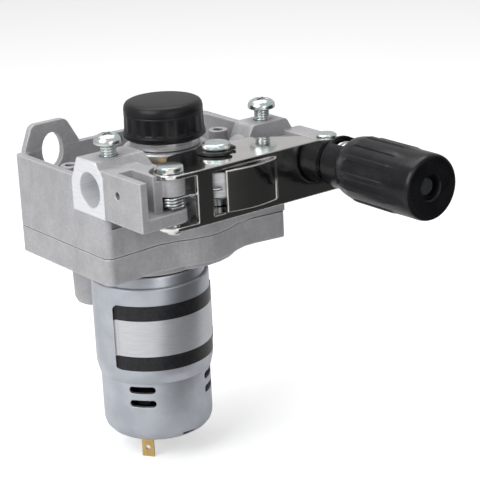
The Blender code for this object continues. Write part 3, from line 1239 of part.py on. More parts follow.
def motor_end():
    place = (*MOTOR, 0)
    rim = CAN_RADIUS - CAN_WALL - GAP
    cap = turned(
        "motor_end_cap",
        [(MOTOR_SHAFT_RADIUS + MOTOR_BUSH_WALL + GAP, CAP_TOP), (rim, CAP_TOP),
         (rim, CAN_BOTTOM + 3.4 * MM), (CAN_RADIUS - 3.2 * MM, CAN_BOTTOM + 1.9 * MM),
         (CAN_RADIUS - 3.2 * MM, CAP_LOW), (MOTOR_SHAFT_RADIUS + MOTOR_BUSH_WALL + GAP, CAP_LOW)],
        place, ring=True)
    half_wide, half_thick = TERMINAL_WIDTH / 2, TERMINAL_THICKNESS / 2
    slot_top = CAP_TOP - 3 * MM
    for number, turn in ((1, BRUSH_ANGLE), (2, BRUSH_ANGLE + 180)):
        reach = COMMUTATOR_RADIUS + GAP
        brush = block(f"brush_{number}", (reach, -BRUSH_WIDTH / 2, CAP_TOP + GAP),
                      (reach + BRUSH_LENGTH, BRUSH_WIDTH / 2, CAP_TOP + BRUSH_WIDTH), place,
                      (0, 0, turn))
        finish(brush, CARBON)
        pad = (arc((0, 0), CAN_RADIUS - 3.4 * MM, turn - 28, turn + 28, 8)
               + arc((0, 0), 9 * MM, turn + 28, turn - 28, 5))
        join(cap, plate(f"terminal_pad_{number}", pad, CAN_BOTTOM - TERMINAL_PAD,
                        CAP_TOP - 4 * MM, place))
        cut(cap, block(f"terminal_slot_{number}",
                       (TERMINAL_REACH - half_thick - GAP, -half_wide - GAP, CAN_BOTTOM - 4 * MM),
                       (TERMINAL_REACH + half_thick + GAP, half_wide + GAP, slot_top),
                       place, (0, 0, turn)))
        blade = block(f"terminal_{number}",
                      (TERMINAL_REACH - half_thick, -half_wide, TERMINAL_TIP),
                      (TERMINAL_REACH + half_thick, half_wide, slot_top - GAP),
                      place, (0, 0, turn))
        middle = MOTOR + Vector((cos(radians(turn)), sin(radians(turn)))) * TERMINAL_REACH
        cut(blade, drum(f"terminal_hole_{number}", 1 * MM, -3 * MM, 3 * MM,
                        (*middle, TERMINAL_TIP + 3.8 * MM), (90, 0, turn + 90),
                        sides=HOLE_SIDES))
        finish(blade, BRASS)
    finish(cap, BLACK)


def motor_screws():
    for number, place in enumerate(motor_screw_places(), 1):
        high, head = COVER_FLOOR - 0.1 * MM, MOTOR_SCREW_RADIUS + 2 * MM
        screw = turned(
            f"motor_screw_{number}",
            [(0, high), (head, high), (head, high - 0.2 * MM), (MOTOR_SCREW_RADIUS, high - 2 * MM),
             (MOTOR_SCREW_RADIUS, CAN_TOP - 3 * MM), (0, CAN_TOP - 3 * MM)],
            (*place, 0), sides=HOLE_SIDES)
        finish(screw, ZINC)


# ---------------------------------------------------------------- assembly

def build():
    drive_axis = axis("drive_axis", (*DRIVE, 0))
    motor_axis = axis("motor_axis", (*MOTOR, 0))
    idler_axis = axis("idler_axis", (*IDLER, 0))
    arm_axis = axis("arm_axis", (PIVOT_X, PIVOT_Y, 0))
    handle_axis = axis("handle_axis", (HINGE_X, HINGE_Y, ROD_Z))

    gear_cover()
    housing()
    cover_screws()
    motor_screws()
    wire_guides()
    clamp_screws()
    motor_shell()
    motor_end()

    motor_shaft, core, windings, commutator = motor_inside()
    pinion, wheel, output = gears()
    drive_shaft, key = shafts()
    roll, collar = drive_roll()
    insert, knob = roll_knob()
    hang(motor_axis, motor_shaft, core, *windings, commutator, pinion)
    hang(idler_axis, wheel)
    hang(drive_axis, drive_shaft, key, output, roll, collar, insert, knob)

    arm = pressure_arm()
    arm_pivot()
    roller, bearing, spacers, pin, clip = pressure_roller()
    hang(arm_axis, arm, roller, bearing, *spacers, pin, clip)

    hinge_pin, rod, sleeve, spring, washer, nut, grip = tension_handle()
    hang(handle_axis, rod, sleeve, spring, washer, nut, grip)


build()
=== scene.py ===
"""Looks of a small motor-driven wire feeder: two castings, a roll drive with its knob, a
sprung pressure arm, a tension handle, two wire clamps and the motor below."""

import json
from math import atan2, cos, hypot, pi, radians, sin

import bpy
from mathutils import Matrix, Vector

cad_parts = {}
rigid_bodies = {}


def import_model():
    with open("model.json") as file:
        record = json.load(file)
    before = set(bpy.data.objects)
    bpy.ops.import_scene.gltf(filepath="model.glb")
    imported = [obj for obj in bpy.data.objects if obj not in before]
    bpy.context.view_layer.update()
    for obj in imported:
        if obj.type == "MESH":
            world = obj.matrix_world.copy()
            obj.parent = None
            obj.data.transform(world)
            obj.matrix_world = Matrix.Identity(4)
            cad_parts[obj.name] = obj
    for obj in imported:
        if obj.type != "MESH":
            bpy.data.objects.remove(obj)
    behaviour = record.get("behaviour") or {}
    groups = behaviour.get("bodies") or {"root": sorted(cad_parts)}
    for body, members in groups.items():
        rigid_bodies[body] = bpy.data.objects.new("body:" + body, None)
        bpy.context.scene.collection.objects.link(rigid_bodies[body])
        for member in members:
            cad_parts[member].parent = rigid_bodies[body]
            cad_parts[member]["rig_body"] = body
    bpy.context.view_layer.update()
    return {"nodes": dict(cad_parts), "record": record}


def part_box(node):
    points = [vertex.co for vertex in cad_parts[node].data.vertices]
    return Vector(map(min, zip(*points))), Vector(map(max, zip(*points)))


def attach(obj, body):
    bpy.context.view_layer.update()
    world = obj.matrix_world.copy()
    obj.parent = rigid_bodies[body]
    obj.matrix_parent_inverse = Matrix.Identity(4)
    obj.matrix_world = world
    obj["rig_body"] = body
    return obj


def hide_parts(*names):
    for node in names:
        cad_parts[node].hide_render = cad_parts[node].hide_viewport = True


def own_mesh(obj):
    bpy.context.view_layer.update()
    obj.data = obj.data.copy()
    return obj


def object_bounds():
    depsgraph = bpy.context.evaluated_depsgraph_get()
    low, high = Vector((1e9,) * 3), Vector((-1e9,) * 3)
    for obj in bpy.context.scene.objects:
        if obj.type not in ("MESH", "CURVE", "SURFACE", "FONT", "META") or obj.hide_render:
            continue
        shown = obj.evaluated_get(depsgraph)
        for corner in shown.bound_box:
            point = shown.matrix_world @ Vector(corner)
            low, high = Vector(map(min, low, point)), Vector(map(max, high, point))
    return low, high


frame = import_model()

MM = 0.001
SAME_PLACE = 1e-6  # points nearer than this are one
ROUNDING = 1e-5  # how far a point may be from where it should be, in metres or radians


def mm(*parts):
    return tuple(part * MM for part in parts)


# Places and sizes from the CAD model. A turned piece's axis stands upright at its place.
DRIVE = mm(-34, 16, 0)
ROLLER = mm(-34, -16.3, 0)
MOTOR = mm(-46.5, 13.5, 0)
PIVOT = mm(-60.5, -24.6, 0)
HINGE = mm(10.5, -25, 33.2)
WIRE_HEIGHT = 35 * MM
INLET_SCREW_X = -69.5 * MM
OUTLET_SCREW_X = 0.0
INLET_FACE_X = -78.3 * MM  # what lies further left is the machined end of the wire bore
BORE_RADIUS = 6.7 * MM
CAN_RADIUS = 21  # millimetres
ALONG_ROD = (90, 0, 0)  # degrees, from upright to the tension rod's direction

FINE, MEDIUM = 96, 64  # sides of a turned piece

# The motor's label: a band round the flux ring, measured from the motor's place
LABEL_RADIUS, LABEL_THICKNESS = 22.47 * MM, 0.12 * MM
LABEL_MIDDLE, LABEL_HEIGHT = -25.95 * MM, 25.7 * MM
LABEL_SILVER_LOW, LABEL_SILVER_HIGH = -33.1 * MM, -18.9 * MM
LABEL_START, LABEL_ARC = -20, 142  # degrees, clockwise as seen from above
LABEL_CORNER = 1.2 * MM

# The camera that took the photo, as solved from points of the object
PHOTO_SIDE, FOCAL_LENGTH = 480, 1711  # pixels
SENSOR_WIDTH = 36  # millimetres
CAMERA_PLACE = (-0.3849, -0.4966, 0.2089)
CAMERA_AZIMUTH, CAMERA_ELEVATION, CAMERA_ROLL = -36.82, 18.57, -2.78  # degrees

LIT_POINT = (-0.03, 0, 0)  # where the lamps look
MIRRORED_SKY = 0.45  # how far mirroring surfaces see the sky as bright as the camera does
DIFFUSE_SKY = 0.2  # the sky's strength as a lamp
CARD_TONE = 0.004
NODE_SAMPLES = 6  # rays that a bevel or a crevice node throws


# ---------------------------------------------------------------- camera, light and stage

def camera():
    azimuth, elevation = radians(CAMERA_AZIMUTH), radians(CAMERA_ELEVATION)
    roll = radians(CAMERA_ROLL)
    back = Vector((sin(azimuth) * cos(elevation), -cos(azimuth) * cos(elevation), sin(elevation)))
    level = Vector((cos(azimuth), sin(azimuth), 0))
    upright = back.cross(level)
    right = cos(roll) * level + sin(roll) * upright
    up = cos(roll) * upright - sin(roll) * level
    lens = bpy.data.cameras.new("camera")
    lens.sensor_width = SENSOR_WIDTH
    lens.lens = SENSOR_WIDTH * FOCAL_LENGTH / PHOTO_SIDE
    lens.clip_start = 0.01
    made = bpy.data.objects.new("camera", lens)
    made.matrix_world = Matrix((right, up, back)).transposed().to_4x4()
    made.location = CAMERA_PLACE
    bpy.context.scene.collection.objects.link(made)
    bpy.context.scene.camera = made


def facing(place, target, axis):
    """The turn that points an axis from a place to a target."""
    return (Vector(target) - Vector(place)).to_track_quat(axis, "Y").to_euler()


def lamp(name, place, width, height, power):
    light = bpy.data.lights.new(name, "AREA")
    light.shape = "RECTANGLE"
    light.size, light.size_y, light.energy = width, height, power
    made = bpy.data.objects.new(name, light)
    made.location = place
    made.rotation_euler = facing(place, LIT_POINT, "-Z")
    bpy.context.scene.collection.objects.link(made)


def studio():
    lamp("key_light", (-0.75, -0.08, 0.55), 0.6, 0.6, 5.0)
    lamp("top_light", (0.05, 0.25, 0.85), 0.8, 0.6, 4.0)
    lamp("front_light", (-0.15, -0.95, 0.25), 0.5, 0.5, 1.5)
    bpy.context.scene.view_settings.view_transform = "Standard"
    world = bpy.data.worlds.new("studio")
    bpy.context.scene.world = world
    world.use_nodes = True
    tree = world.node_tree
    sky = tree.nodes["Background"]
    path = tree.nodes.new("ShaderNodeLightPath")
    mirrored = tree.nodes.new("ShaderNodeMath")
    mirrored.operation = "MULTIPLY"
    mirrored.inputs[1].default_value = MIRRORED_SKY
    seen, shown = tree.nodes.new("ShaderNodeMath"), tree.nodes.new("ShaderNodeMath")
    seen.operation = shown.operation = "MAXIMUM"
    strength = tree.nodes.new("ShaderNodeMapRange")
    strength.inputs["To Min"].default_value = DIFFUSE_SKY
    strength.inputs["To Max"].default_value = 1.0
    tree.links.new(path.outputs["Is Camera Ray"], seen.inputs[0])
    tree.links.new(path.outputs["Is Transmission Ray"], seen.inputs[1])
    tree.links.new(path.outputs["Is Glossy Ray"], mirrored.inputs[0])
    tree.links.new(seen.outputs[0], shown.inputs[0])
    tree.links.new(mirrored.outputs[0], shown.inputs[1])
    tree.links.new(shown.outputs[0], strength.inputs["Value"])
    tree.links.new(strength.outputs[0], sky.inputs["Strength"])
    sky.inputs["Color"].default_value = (1, 1, 1, 1)


def stage_sheet(name, place, target, width, height, look):
    """The floor, or a flat card that faces its target."""
    deselect()
    bpy.ops.mesh.primitive_plane_add(size=1)
    card = bpy.context.object
    card.name = name
    card.scale = (width, height, 1)
    card.location = place
    if target is not None:
        card.rotation_euler = facing(place, target, "Z")
    card.data.materials.append(look)
    return card


def mirror_card(name, place, target, width, height):
    """A dark card that only mirroring surfaces see: it throws no shadow and hides nothing."""
    paint = Finish(name, (CARD_TONE, CARD_TONE, CARD_TONE), 0.0, 0.9).material
    card = stage_sheet(name, place, target, width, height, paint)
    card.visible_camera = card.visible_diffuse = card.visible_shadow = False
    card.visible_transmission = False


# ---------------------------------------------------------------- finishes

class Wire:
    """A socket's value, which can be reckoned with like a number."""

    def __init__(self, finish, socket):
        self.finish, self.socket = finish, socket

    def __add__(self, other):
        return self.finish.reckon("ADD", self, other)

    __radd__ = __add__

    def __sub__(self, other):
        return self.finish.reckon("SUBTRACT", self, other)

    def __rsub__(self, other):
        return self.finish.reckon("SUBTRACT", other, self)

    def __mul__(self, other):
        return self.finish.reckon("MULTIPLY", self, other)

    __rmul__ = __mul__

    def __pow__(self, other):
        return self.finish.reckon("POWER", self, other)

    def __rpow__(self, other):
        return self.finish.reckon("POWER", other, self)

    def __gt__(self, other):
        return self.finish.reckon("GREATER_THAN", self, other)

    def __lt__(self, other):
        return self.finish.reckon("LESS_THAN", self, other)


class Finish:
    """One material: its shader's constants, and the nodes that vary over the surface."""

    def __init__(self, name, colour, metallic, roughness, **constants):
        self.material = bpy.data.materials.new(name)
        self.material.use_nodes = True
        self.tree = self.material.node_tree
        self.shader = self.tree.nodes["Principled BSDF"]
        self.colour = (*colour, 1)
        self.shader.inputs["Base Color"].default_value = self.colour
        self.shader.inputs["Metallic"].default_value = metallic
        self.shader.inputs["Roughness"].default_value = roughness
        for socket, value in constants.items():
            self.shader.inputs[socket].default_value = value
        self.material.diffuse_color = self.colour
        self.place = self.node("ShaderNodeTexCoord", output="Object")

    def node(self, kind, settings=(), sockets=(), output=0):
        """A node with its settings made first, then its sockets' values or links."""
        made = self.tree.nodes.new(kind)
        for setting, value in dict(settings).items():
            setattr(made, setting, value)
        for socket, value in dict(sockets).items():
            if isinstance(value, Wire):
                self.tree.links.new(value.socket, made.inputs[socket])
            else:
                made.inputs[socket].default_value = value
        return Wire(self, made.outputs[output])

    def reckon(self, operation, first, second):
        return self.node("ShaderNodeMath", {"operation": operation}, {0: first, 1: second})

    def mix(self, share, first, second):
        return self.node("ShaderNodeMix", {"data_type": "RGBA"},
                         {0: share, 6: first, 7: second}, output=2)

    def spread(self, value, low, high, to_low=0.0, to_high=1.0):
        """The value's range from low to high, brought smoothly to another range."""
        return self.node("ShaderNodeMapRange", {"interpolation_type": "SMOOTHSTEP"},
                         {0: value, 1: low, 2: high, 3: to_low, 4: to_high})

    def grain(self, size, stretch=(1, 1, 1), detail=2.0, rough=0.5):
        """Noise with lumps of a size in metres, longer along an axis by its stretch."""
        turned_place = self.node("ShaderNodeMapping", (), {
            "Vector": self.place, "Scale": [1 / (size * share) for share in stretch]})
        return self.node("ShaderNodeTexNoise", (), {
            "Vector": turned_place, "Scale": 1.0, "Detail": detail, "Roughness": rough})

    def axis(self, name):
        return self.node("ShaderNodeSeparateXYZ", (), {0: self.place}, output=name)

    def soft_edge(self, radius):
        """The normal with each sharp edge rounded by a radius."""
        return self.node("ShaderNodeBevel", {"samples": NODE_SAMPLES}, {"Radius": radius})

    def edge(self, radius):
        """Near 0 on a flat face, rising towards each sharp edge."""
        true_normal = self.node("ShaderNodeNewGeometry", output="True Normal")
        same = self.node("ShaderNodeVectorMath", {"operation": "DOT_PRODUCT"},
                         {0: self.soft_edge(radius), 1: true_normal}, output="Value")
        return self.spread(1.0 - same, 0.01, 0.22)

    def crevice(self, distance):
        """Near 1 in corners and gaps, 0 on open faces."""
        open_share = self.node("ShaderNodeAmbientOcclusion", {"samples": NODE_SAMPLES},
                               {"Distance": distance}, output="AO")
        return self.spread(1.0 - open_share, 0.25, 0.9)

    def set(self, colour=None, roughness=None, height=None, depth=0.0, edge=0.0,
            metallic=None):
        """Links what varies into the shader. Depth is the relief's height in metres."""
        for socket, value in (("Base Color", colour), ("Roughness", roughness),
                              ("Metallic", metallic)):
            if value is not None:
                self.tree.links.new(value.socket, self.shader.inputs[socket])
        normal = self.soft_edge(edge) if edge else None
        if height is not None:
            sockets = {"Height": height, "Distance": depth}
            if normal is not None:
                sockets["Normal"] = normal
            normal = self.node("ShaderNodeBump", (), sockets)
        if normal is not None:
            self.tree.links.new(normal.socket, self.shader.inputs["Normal"])
        return self.material


def shade(colour, share):
    return tuple(min(1.0, part * share) for part in colour[:3]) + (1,)


def cast_aluminium():
    cast = Finish("cast_aluminium", (0.53, 0.525, 0.545), 0.36, 0.5)
    cloud, speck = cast.grain(9 * MM, detail=4), cast.grain(0.35 * MM, detail=3, rough=0.7)
    sand = cast.grain(0.9 * MM, detail=2, rough=0.65)
    stain = cast.grain(11 * MM, (1, 1, 2.6), detail=6, rough=0.6)
    pale_edge, crevice_shade = cast.edge(1.2 * MM), cast.crevice(5 * MM)
    tone = cast.mix(cast.spread(cloud, 0.3, 0.7), shade(cast.colour, 0.9),
                    shade(cast.colour, 1.06))
    tone = cast.mix(cast.spread(sand, 0.35, 0.65, 0.3, 0), tone, shade(cast.colour, 0.62))
    tone = cast.mix(cast.spread(speck, 0.62, 0.8, 0, 0.35), tone, shade(cast.colour, 0.6))
    tone = cast.mix(cast.spread(stain, 0.52, 0.72, 0, 0.45), tone, shade(cast.colour, 0.66))
    bare_and_lit_edge, painted_crevice_shade = (0.82, 0.815, 0.81, 1), (0.17, 0.165, 0.155, 1)
    # Paler colour along the sharp edges: a painted highlight, partly edge wear too.
    tone = cast.mix(pale_edge * 0.8, tone, bare_and_lit_edge)
    # Dark colour in corners and gaps: painted shade.
    tone = cast.mix(crevice_shade * 0.55, tone, painted_crevice_shade)
    across, rise = cast.axis("Y"), cast.axis("Z") - WIRE_HEIGHT
    bore = (across * across + rise * rise) ** 0.5 < BORE_RADIUS
    machined = cast.reckon("MAXIMUM", cast.axis("X") < INLET_FACE_X, bore)
    lines = cast.grain(0.22 * MM, (40, 40, 1), detail=1)
    bright = cast.mix(cast.spread(lines, 0.3, 0.7), (0.80, 0.81, 0.84, 1),
                      (0.93, 0.94, 0.96, 1))
    rough = 0.46 + speck * 0.16 - pale_edge * 0.12
    return cast.set(
        colour=cast.mix(machined, tone, bright),
        roughness=rough * (1.0 - machined) + machined * (0.3 + lines * 0.12),
        height=(speck * 0.7 + cast.grain(1.6 * MM, detail=2) * 0.6) * (1.0 - machined)
        + lines * machined * 0.12,
        depth=0.09 * MM, edge=0.8 * MM)


def bright_nickel():
    nickel = Finish("bright_nickel", (0.80, 0.785, 0.765), 1.0, 0.1)
    haze, rub = nickel.grain(14 * MM, detail=3), nickel.grain(0.5 * MM, (1, 30, 30), detail=2)
    tone = nickel.mix(nickel.spread(haze, 0.3, 0.7), shade(nickel.colour, 0.94),
                      shade(nickel.colour, 1.04))
    return nickel.set(colour=tone,
                      roughness=0.05 + nickel.spread(haze, 0.35, 0.75) * 0.07 + rub * 0.03,
                      height=nickel.grain(3.5 * MM, detail=1), depth=0.02 * MM, edge=0.8 * MM)


def zinc_plate():
    zinc = Finish("zinc_plate", (0.66, 0.72, 0.74), 1.0, 0.22)
    tint, fine = zinc.grain(2.5 * MM, detail=2), zinc.grain(0.18 * MM, (1, 1, 3), detail=2)
    tone = zinc.mix(zinc.spread(tint, 0.3, 0.7), (0.60, 0.72, 0.74, 1), (0.78, 0.77, 0.74, 1))
    # Darker in corners and gaps: painted shade.
    crevice_shade = zinc.crevice(1.2 * MM)
    return zinc.set(colour=zinc.mix(crevice_shade * 0.6, tone, (0.16, 0.17, 0.17, 1)),
                    roughness=0.16 + fine * 0.16, height=fine, depth=0.012 * MM,
                    edge=0.25 * MM)


def ground_steel():
    steel = Finish("ground_steel", (0.60, 0.60, 0.61), 1.0, 0.28)
    rings, haze = steel.grain(0.16 * MM, (60, 60, 1), detail=2), steel.grain(5 * MM, detail=2)
    tone = steel.mix(steel.spread(rings, 0.25, 0.75), (0.50, 0.50, 0.52, 1),
                     (0.72, 0.72, 0.73, 1))
    # Darker in corners and gaps: painted shade.
    crevice_shade = steel.crevice(2.5 * MM)
    return steel.set(colour=steel.mix(crevice_shade * 0.75, tone, (0.05, 0.05, 0.05, 1)),
                     roughness=0.3 + haze * 0.1 + rings * 0.12,
                     height=rings, depth=0.03 * MM, edge=0.3 * MM)


def can_steel():
    steel = Finish("can_steel", (0.50, 0.525, 0.57), 0.8, 0.33)
    streak = steel.grain(0.8 * MM, (1, 1, 26), detail=3)
    haze = steel.grain(11 * MM, detail=3)
    tone = steel.mix(steel.spread(haze, 0.3, 0.7), (0.45, 0.475, 0.52, 1),
                     (0.56, 0.585, 0.63, 1))
    # Darker in corners and gaps: painted shade.
    crevice_shade = steel.crevice(2 * MM)
    return steel.set(colour=steel.mix(crevice_shade * 0.6, tone, (0.10, 0.10, 0.11, 1)),
                     roughness=0.27 + streak * 0.12 + haze * 0.06,
                     height=streak, depth=0.015 * MM, edge=0.4 * MM)


def black_plastic(name, gloss):
    plastic = Finish(name, (0.008, 0.008, 0.0095), 0.0, gloss, IOR=1.36)
    texture, cloud = plastic.grain(0.3 * MM, detail=3, rough=0.6), plastic.grain(7 * MM)
    pale_edge = plastic.edge(0.5 * MM)
    tone = plastic.mix(plastic.spread(cloud, 0.3, 0.7), (0.006, 0.006, 0.0075, 1),
                       (0.011, 0.011, 0.0135, 1))
    return plastic.set(colour=plastic.mix(pale_edge * 0.5, tone, (0.045, 0.045, 0.05, 1)),
                       roughness=gloss - 0.05 + texture * 0.12 + cloud * 0.05,
                       height=texture, depth=0.02 * MM, edge=0.3 * MM)


def plain_metal(name, colour, roughness, size, depth, metallic=1.0):
    """A finish for small and inner pieces: fine grain with dark specks, and a clouded tone."""
    metal = Finish(name, colour, metallic, roughness)
    fine, cloud = metal.grain(size, detail=3, rough=0.6), metal.grain(size * 12, detail=2)
    tone = metal.mix(metal.spread(cloud, 0.3, 0.7), shade(metal.colour, 0.85),
                     shade(metal.colour, 1.1))
    return metal.set(colour=metal.mix(metal.spread(fine, 0.6, 0.8, 0, 0.4), tone,
                                      shade(metal.colour, 0.6)),
                     roughness=roughness - 0.06 + fine * 0.14, height=fine, depth=depth,
                     edge=0.2 * MM)


def label_film():
    """Black bands above and below a plain silver field."""
    film = Finish("label_film", (0.62, 0.63, 0.65), 0.6, 0.35, IOR=1.38)
    height = film.axis("Z")
    upper, lower = height > LABEL_SILVER_HIGH, height < LABEL_SILVER_LOW
    hair = film.grain(0.12 * MM, (40, 40, 1), detail=2)
    silver = film.mix(film.spread(hair, 0.3, 0.7), (0.56, 0.57, 0.60, 1),
                      (0.68, 0.69, 0.71, 1))
    black = film.mix(film.spread(film.grain(1.5 * MM), 0.3, 0.7), (0.010, 0.010, 0.012, 1),
                     (0.020, 0.020, 0.023, 1))
    bands = upper + lower
    return film.set(colour=film.mix(bands, silver, black), metallic=0.65 - bands * 0.65,
                    roughness=0.3 + hair * 0.1, height=hair, depth=0.004 * MM)


def floor_paint():
    """Pale paint that reads as white to the camera and keeps the shadows."""
    paint = Finish("floor_paint", (0.86, 0.86, 0.865), 0.0, 0.75)
    path = paint.tree.nodes.new("ShaderNodeLightPath")
    camera_ray, clear_ray, mirror_ray = (
        Wire(paint, path.outputs[name])
        for name in ("Is Camera Ray", "Is Transmission Ray", "Is Glossy Ray"))
    paint.shader.inputs["Emission Color"].default_value = (1, 1, 1, 1)
    seen_glow, mirrored_glow = 0.5, 0.12
    glow = (camera_ray + clear_ray) * seen_glow + mirror_ray * mirrored_glow
    paint.tree.links.new(glow.socket, paint.shader.inputs["Emission Strength"])
    return paint.set(height=paint.grain(4 * MM, detail=3), depth=0.01 * MM)


# ---------------------------------------------------------------- making pieces

def deselect():
    if bpy.context.mode != "OBJECT":
        bpy.ops.object.mode_set(mode="OBJECT")
    bpy.ops.object.select_all(action="DESELECT")


def pick(piece):
    deselect()
    piece.select_set(True)
    bpy.context.view_layer.objects.active = piece


def edit(piece, chosen=None):
    """Goes into edit mode with all of a piece selected, or the points that a test picks."""
    pick(piece)
    bpy.ops.object.mode_set(mode="EDIT")
    bpy.ops.mesh.select_mode(type="VERT")
    bpy.ops.mesh.select_all(action="SELECT" if chosen is None else "DESELECT")
    if chosen is not None:
        bpy.ops.object.mode_set(mode="OBJECT")
        for point in piece.data.vertices:
            point.select = bool(chosen(point.co))
        bpy.ops.object.mode_set(mode="EDIT")


def close(piece):
    """Merges doubles, faces everything outwards and goes back to object mode."""
    edit(piece)
    bpy.ops.mesh.remove_doubles(threshold=SAME_PLACE)
    bpy.ops.mesh.normals_make_consistent(inside=False)
    bpy.ops.object.mode_set(mode="OBJECT")


def place(piece, at, turn=(0, 0, 0)):
    """Puts a piece modelled round the origin in its place, and that place into its mesh."""
    pick(piece)
    bpy.ops.object.transform_apply(location=True, rotation=True, scale=True)
    piece.rotation_euler = [radians(angle) for angle in turn]
    piece.location = at
    bpy.ops.object.transform_apply(location=True, rotation=True, scale=True)


def modify(piece, kind, **settings):
    pick(piece)
    modifier = piece.modifiers.new("step", kind)
    for setting, value in settings.items():
        setattr(modifier, setting, value)
    bpy.ops.object.modifier_apply(modifier=modifier.name)


def soften(piece, width, angle=30, segments=2):
    modify(piece, "BEVEL", width=width, segments=segments, limit_method="ANGLE",
           angle_limit=radians(angle), use_clamp_overlap=True)


def smooth(piece, angle=32):
    pick(piece)
    bpy.ops.object.shade_smooth_by_angle(angle=radians(angle))


def turned(name, profile, sides=FINE, ring=False):
    """A profile of (radius, height) points in millimetres, pulled up round Z by extruding."""
    profile = [(radius * MM, height * MM) for radius, height in profile]
    deselect()
    radius, height = profile[0]
    bpy.ops.mesh.primitive_circle_add(vertices=sides, radius=radius, location=(0, 0, height),
                                      fill_type="NOTHING" if ring else "NGON")
    piece = bpy.context.object
    piece.name = name
    bpy.ops.object.mode_set(mode="EDIT")
    bpy.ops.mesh.select_all(action="SELECT")
    for next_radius, next_height in profile[1:] + (profile[:1] if ring else []):
        rise = {"value": (0, 0, next_height - height)}
        if ring:
            bpy.ops.mesh.extrude_edges_move(TRANSFORM_OT_translate=rise)
        else:
            bpy.ops.mesh.extrude_region_move(TRANSFORM_OT_translate=rise)
        share = next_radius / radius
        bpy.ops.transform.resize(value=(share, share, 1), center_override=(0, 0, 0))
        radius, height = next_radius, next_height
    bpy.ops.object.mode_set(mode="OBJECT")
    bpy.ops.object.transform_apply(location=True, rotation=True, scale=True)
    close(piece)
    return piece


def swell(piece, share, chosen):
    """Moves the chosen points of a piece round Z nearer to its axis, or away from it."""
    edit(piece, chosen)
    bpy.ops.transform.resize(value=(share, share, 1), center_override=(0, 0, 0))
    bpy.ops.object.mode_set(mode="OBJECT")


def column(point, sides):
    """The number of the upright line of points that a point of a turned piece is on."""
    return round(atan2(point.x, point.y) / (2 * pi) * sides) % sides


def coil(name, coil_radius, wire_radius, pitch, turns, steps=36, wire_sides=10,
         legs=((), ())):
    """A helix round Z from height 0, of round wire, with its ends closed. Millimetres.
    Each leg is a list of moves that pull the wire's start or end out into a straight leg."""
    deselect()
    bpy.ops.mesh.primitive_circle_add(
        vertices=wire_sides, radius=wire_radius * MM, rotation=(radians(90), 0, 0),
        location=(coil_radius * MM, 0, 0), fill_type="NOTHING")
    piece = bpy.context.object
    piece.name = name
    bpy.ops.object.transform_apply(location=True, rotation=True, scale=True)
    whole = int(turns)
    modify(piece, "SCREW", axis="Z", screw_offset=pitch * turns / whole * MM,
           iterations=whole, angle=radians(360 * turns / whole), steps=steps,
           render_steps=steps, use_merge_vertices=False, use_smooth_shade=True)
    top, reach = pitch * turns * MM, wire_radius * 1.02 * MM
    for moves, height in zip(legs, (0, top)):
        if moves:
            edit(piece, lambda point, height=height: abs(point.y) < SAME_PLACE
                 and abs(point.z - height) < reach)
            for move in moves:
                bpy.ops.mesh.extrude_edges_move(TRANSFORM_OT_translate={"value": mm(*move)})
    edit(piece)
    bpy.ops.mesh.select_all(action="DESELECT")
    bpy.ops.mesh.select_non_manifold(extend=False)
    bpy.ops.mesh.fill()
    bpy.ops.object.mode_set(mode="OBJECT")
    close(piece)
    smooth(piece, 40)
    return piece


def around(radius, angle, height):
    """The place at an angle round Z, with its radius and height given in millimetres."""
    turn = radians(angle)
    return radius * MM * cos(turn), radius * MM * sin(turn), height * MM


def subtract(piece, cutter):
    modify(piece, "BOOLEAN", operation="DIFFERENCE", object=cutter, solver="EXACT")
    bpy.data.objects.remove(cutter)


def cut(piece, size, at, turn=(0, 0, 0)):
    """Cuts a box-shaped opening, given by its size and middle in metres."""
    deselect()
    bpy.ops.mesh.primitive_cube_add(size=1, location=at,
                                    rotation=[radians(angle) for angle in turn])
    cutter = bpy.context.object
    cutter.scale = size
    bpy.ops.object.transform_apply(location=True, rotation=True, scale=True)
    subtract(piece, cutter)


def cut_slot(piece, length, width, radius, height, angle):
    """Cuts a round-ended slot through the wall of a piece that stands round Z. Millimetres."""
    length, width = mm(length, width)
    cutter_sides, cutter_depth = 20, 6 * MM
    deselect()
    bpy.ops.mesh.primitive_cylinder_add(vertices=cutter_sides, radius=width / 2,
                                        depth=cutter_depth, rotation=(0, radians(90), 0))
    cutter = bpy.context.object
    bpy.ops.object.transform_apply(location=True, rotation=True, scale=True)
    for side in (-1, 1):
        edit(cutter, lambda point, side=side: point.y * side > width / 20)
        bpy.ops.transform.translate(value=(0, side * (length - width) / 2, 0))
        bpy.ops.object.mode_set(mode="OBJECT")
    place(cutter, around(radius, angle, height), (0, 0, angle))
    subtract(piece, cutter)


def unite(piece, *others):
    pick(piece)
    for other in others:
        other.select_set(True)
    bpy.ops.object.join()


def copy_of(node, name, angle=32):
    """A CAD node's mesh as its own piece, with its doubles merged and its curves smooth."""
    piece = bpy.data.objects.new(name, frame["nodes"][node].data.copy())
    bpy.context.scene.collection.objects.link(piece)
    pick(piece)
    bpy.ops.mesh.customdata_custom_splitnormals_clear()
    edit(piece)
    bpy.ops.mesh.remove_doubles(threshold=SAME_PLACE)
    bpy.ops.object.mode_set(mode="OBJECT")
    smooth(piece, angle)
    return piece


SLOT_OF = {part["node"]: part["material_slot"] for part in frame["record"]["subparts"]}


def beside(piece, look, node):
    """Gives a piece its finish, and lets it move with a CAD node's body."""
    piece.data.materials.clear()
    piece.data.materials.append(look)
    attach(piece, frame["nodes"][node]["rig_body"])


def settle(piece, look, node):
    """The same, and the piece stands for the CAD node."""
    beside(piece, look, node)
    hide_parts(node)


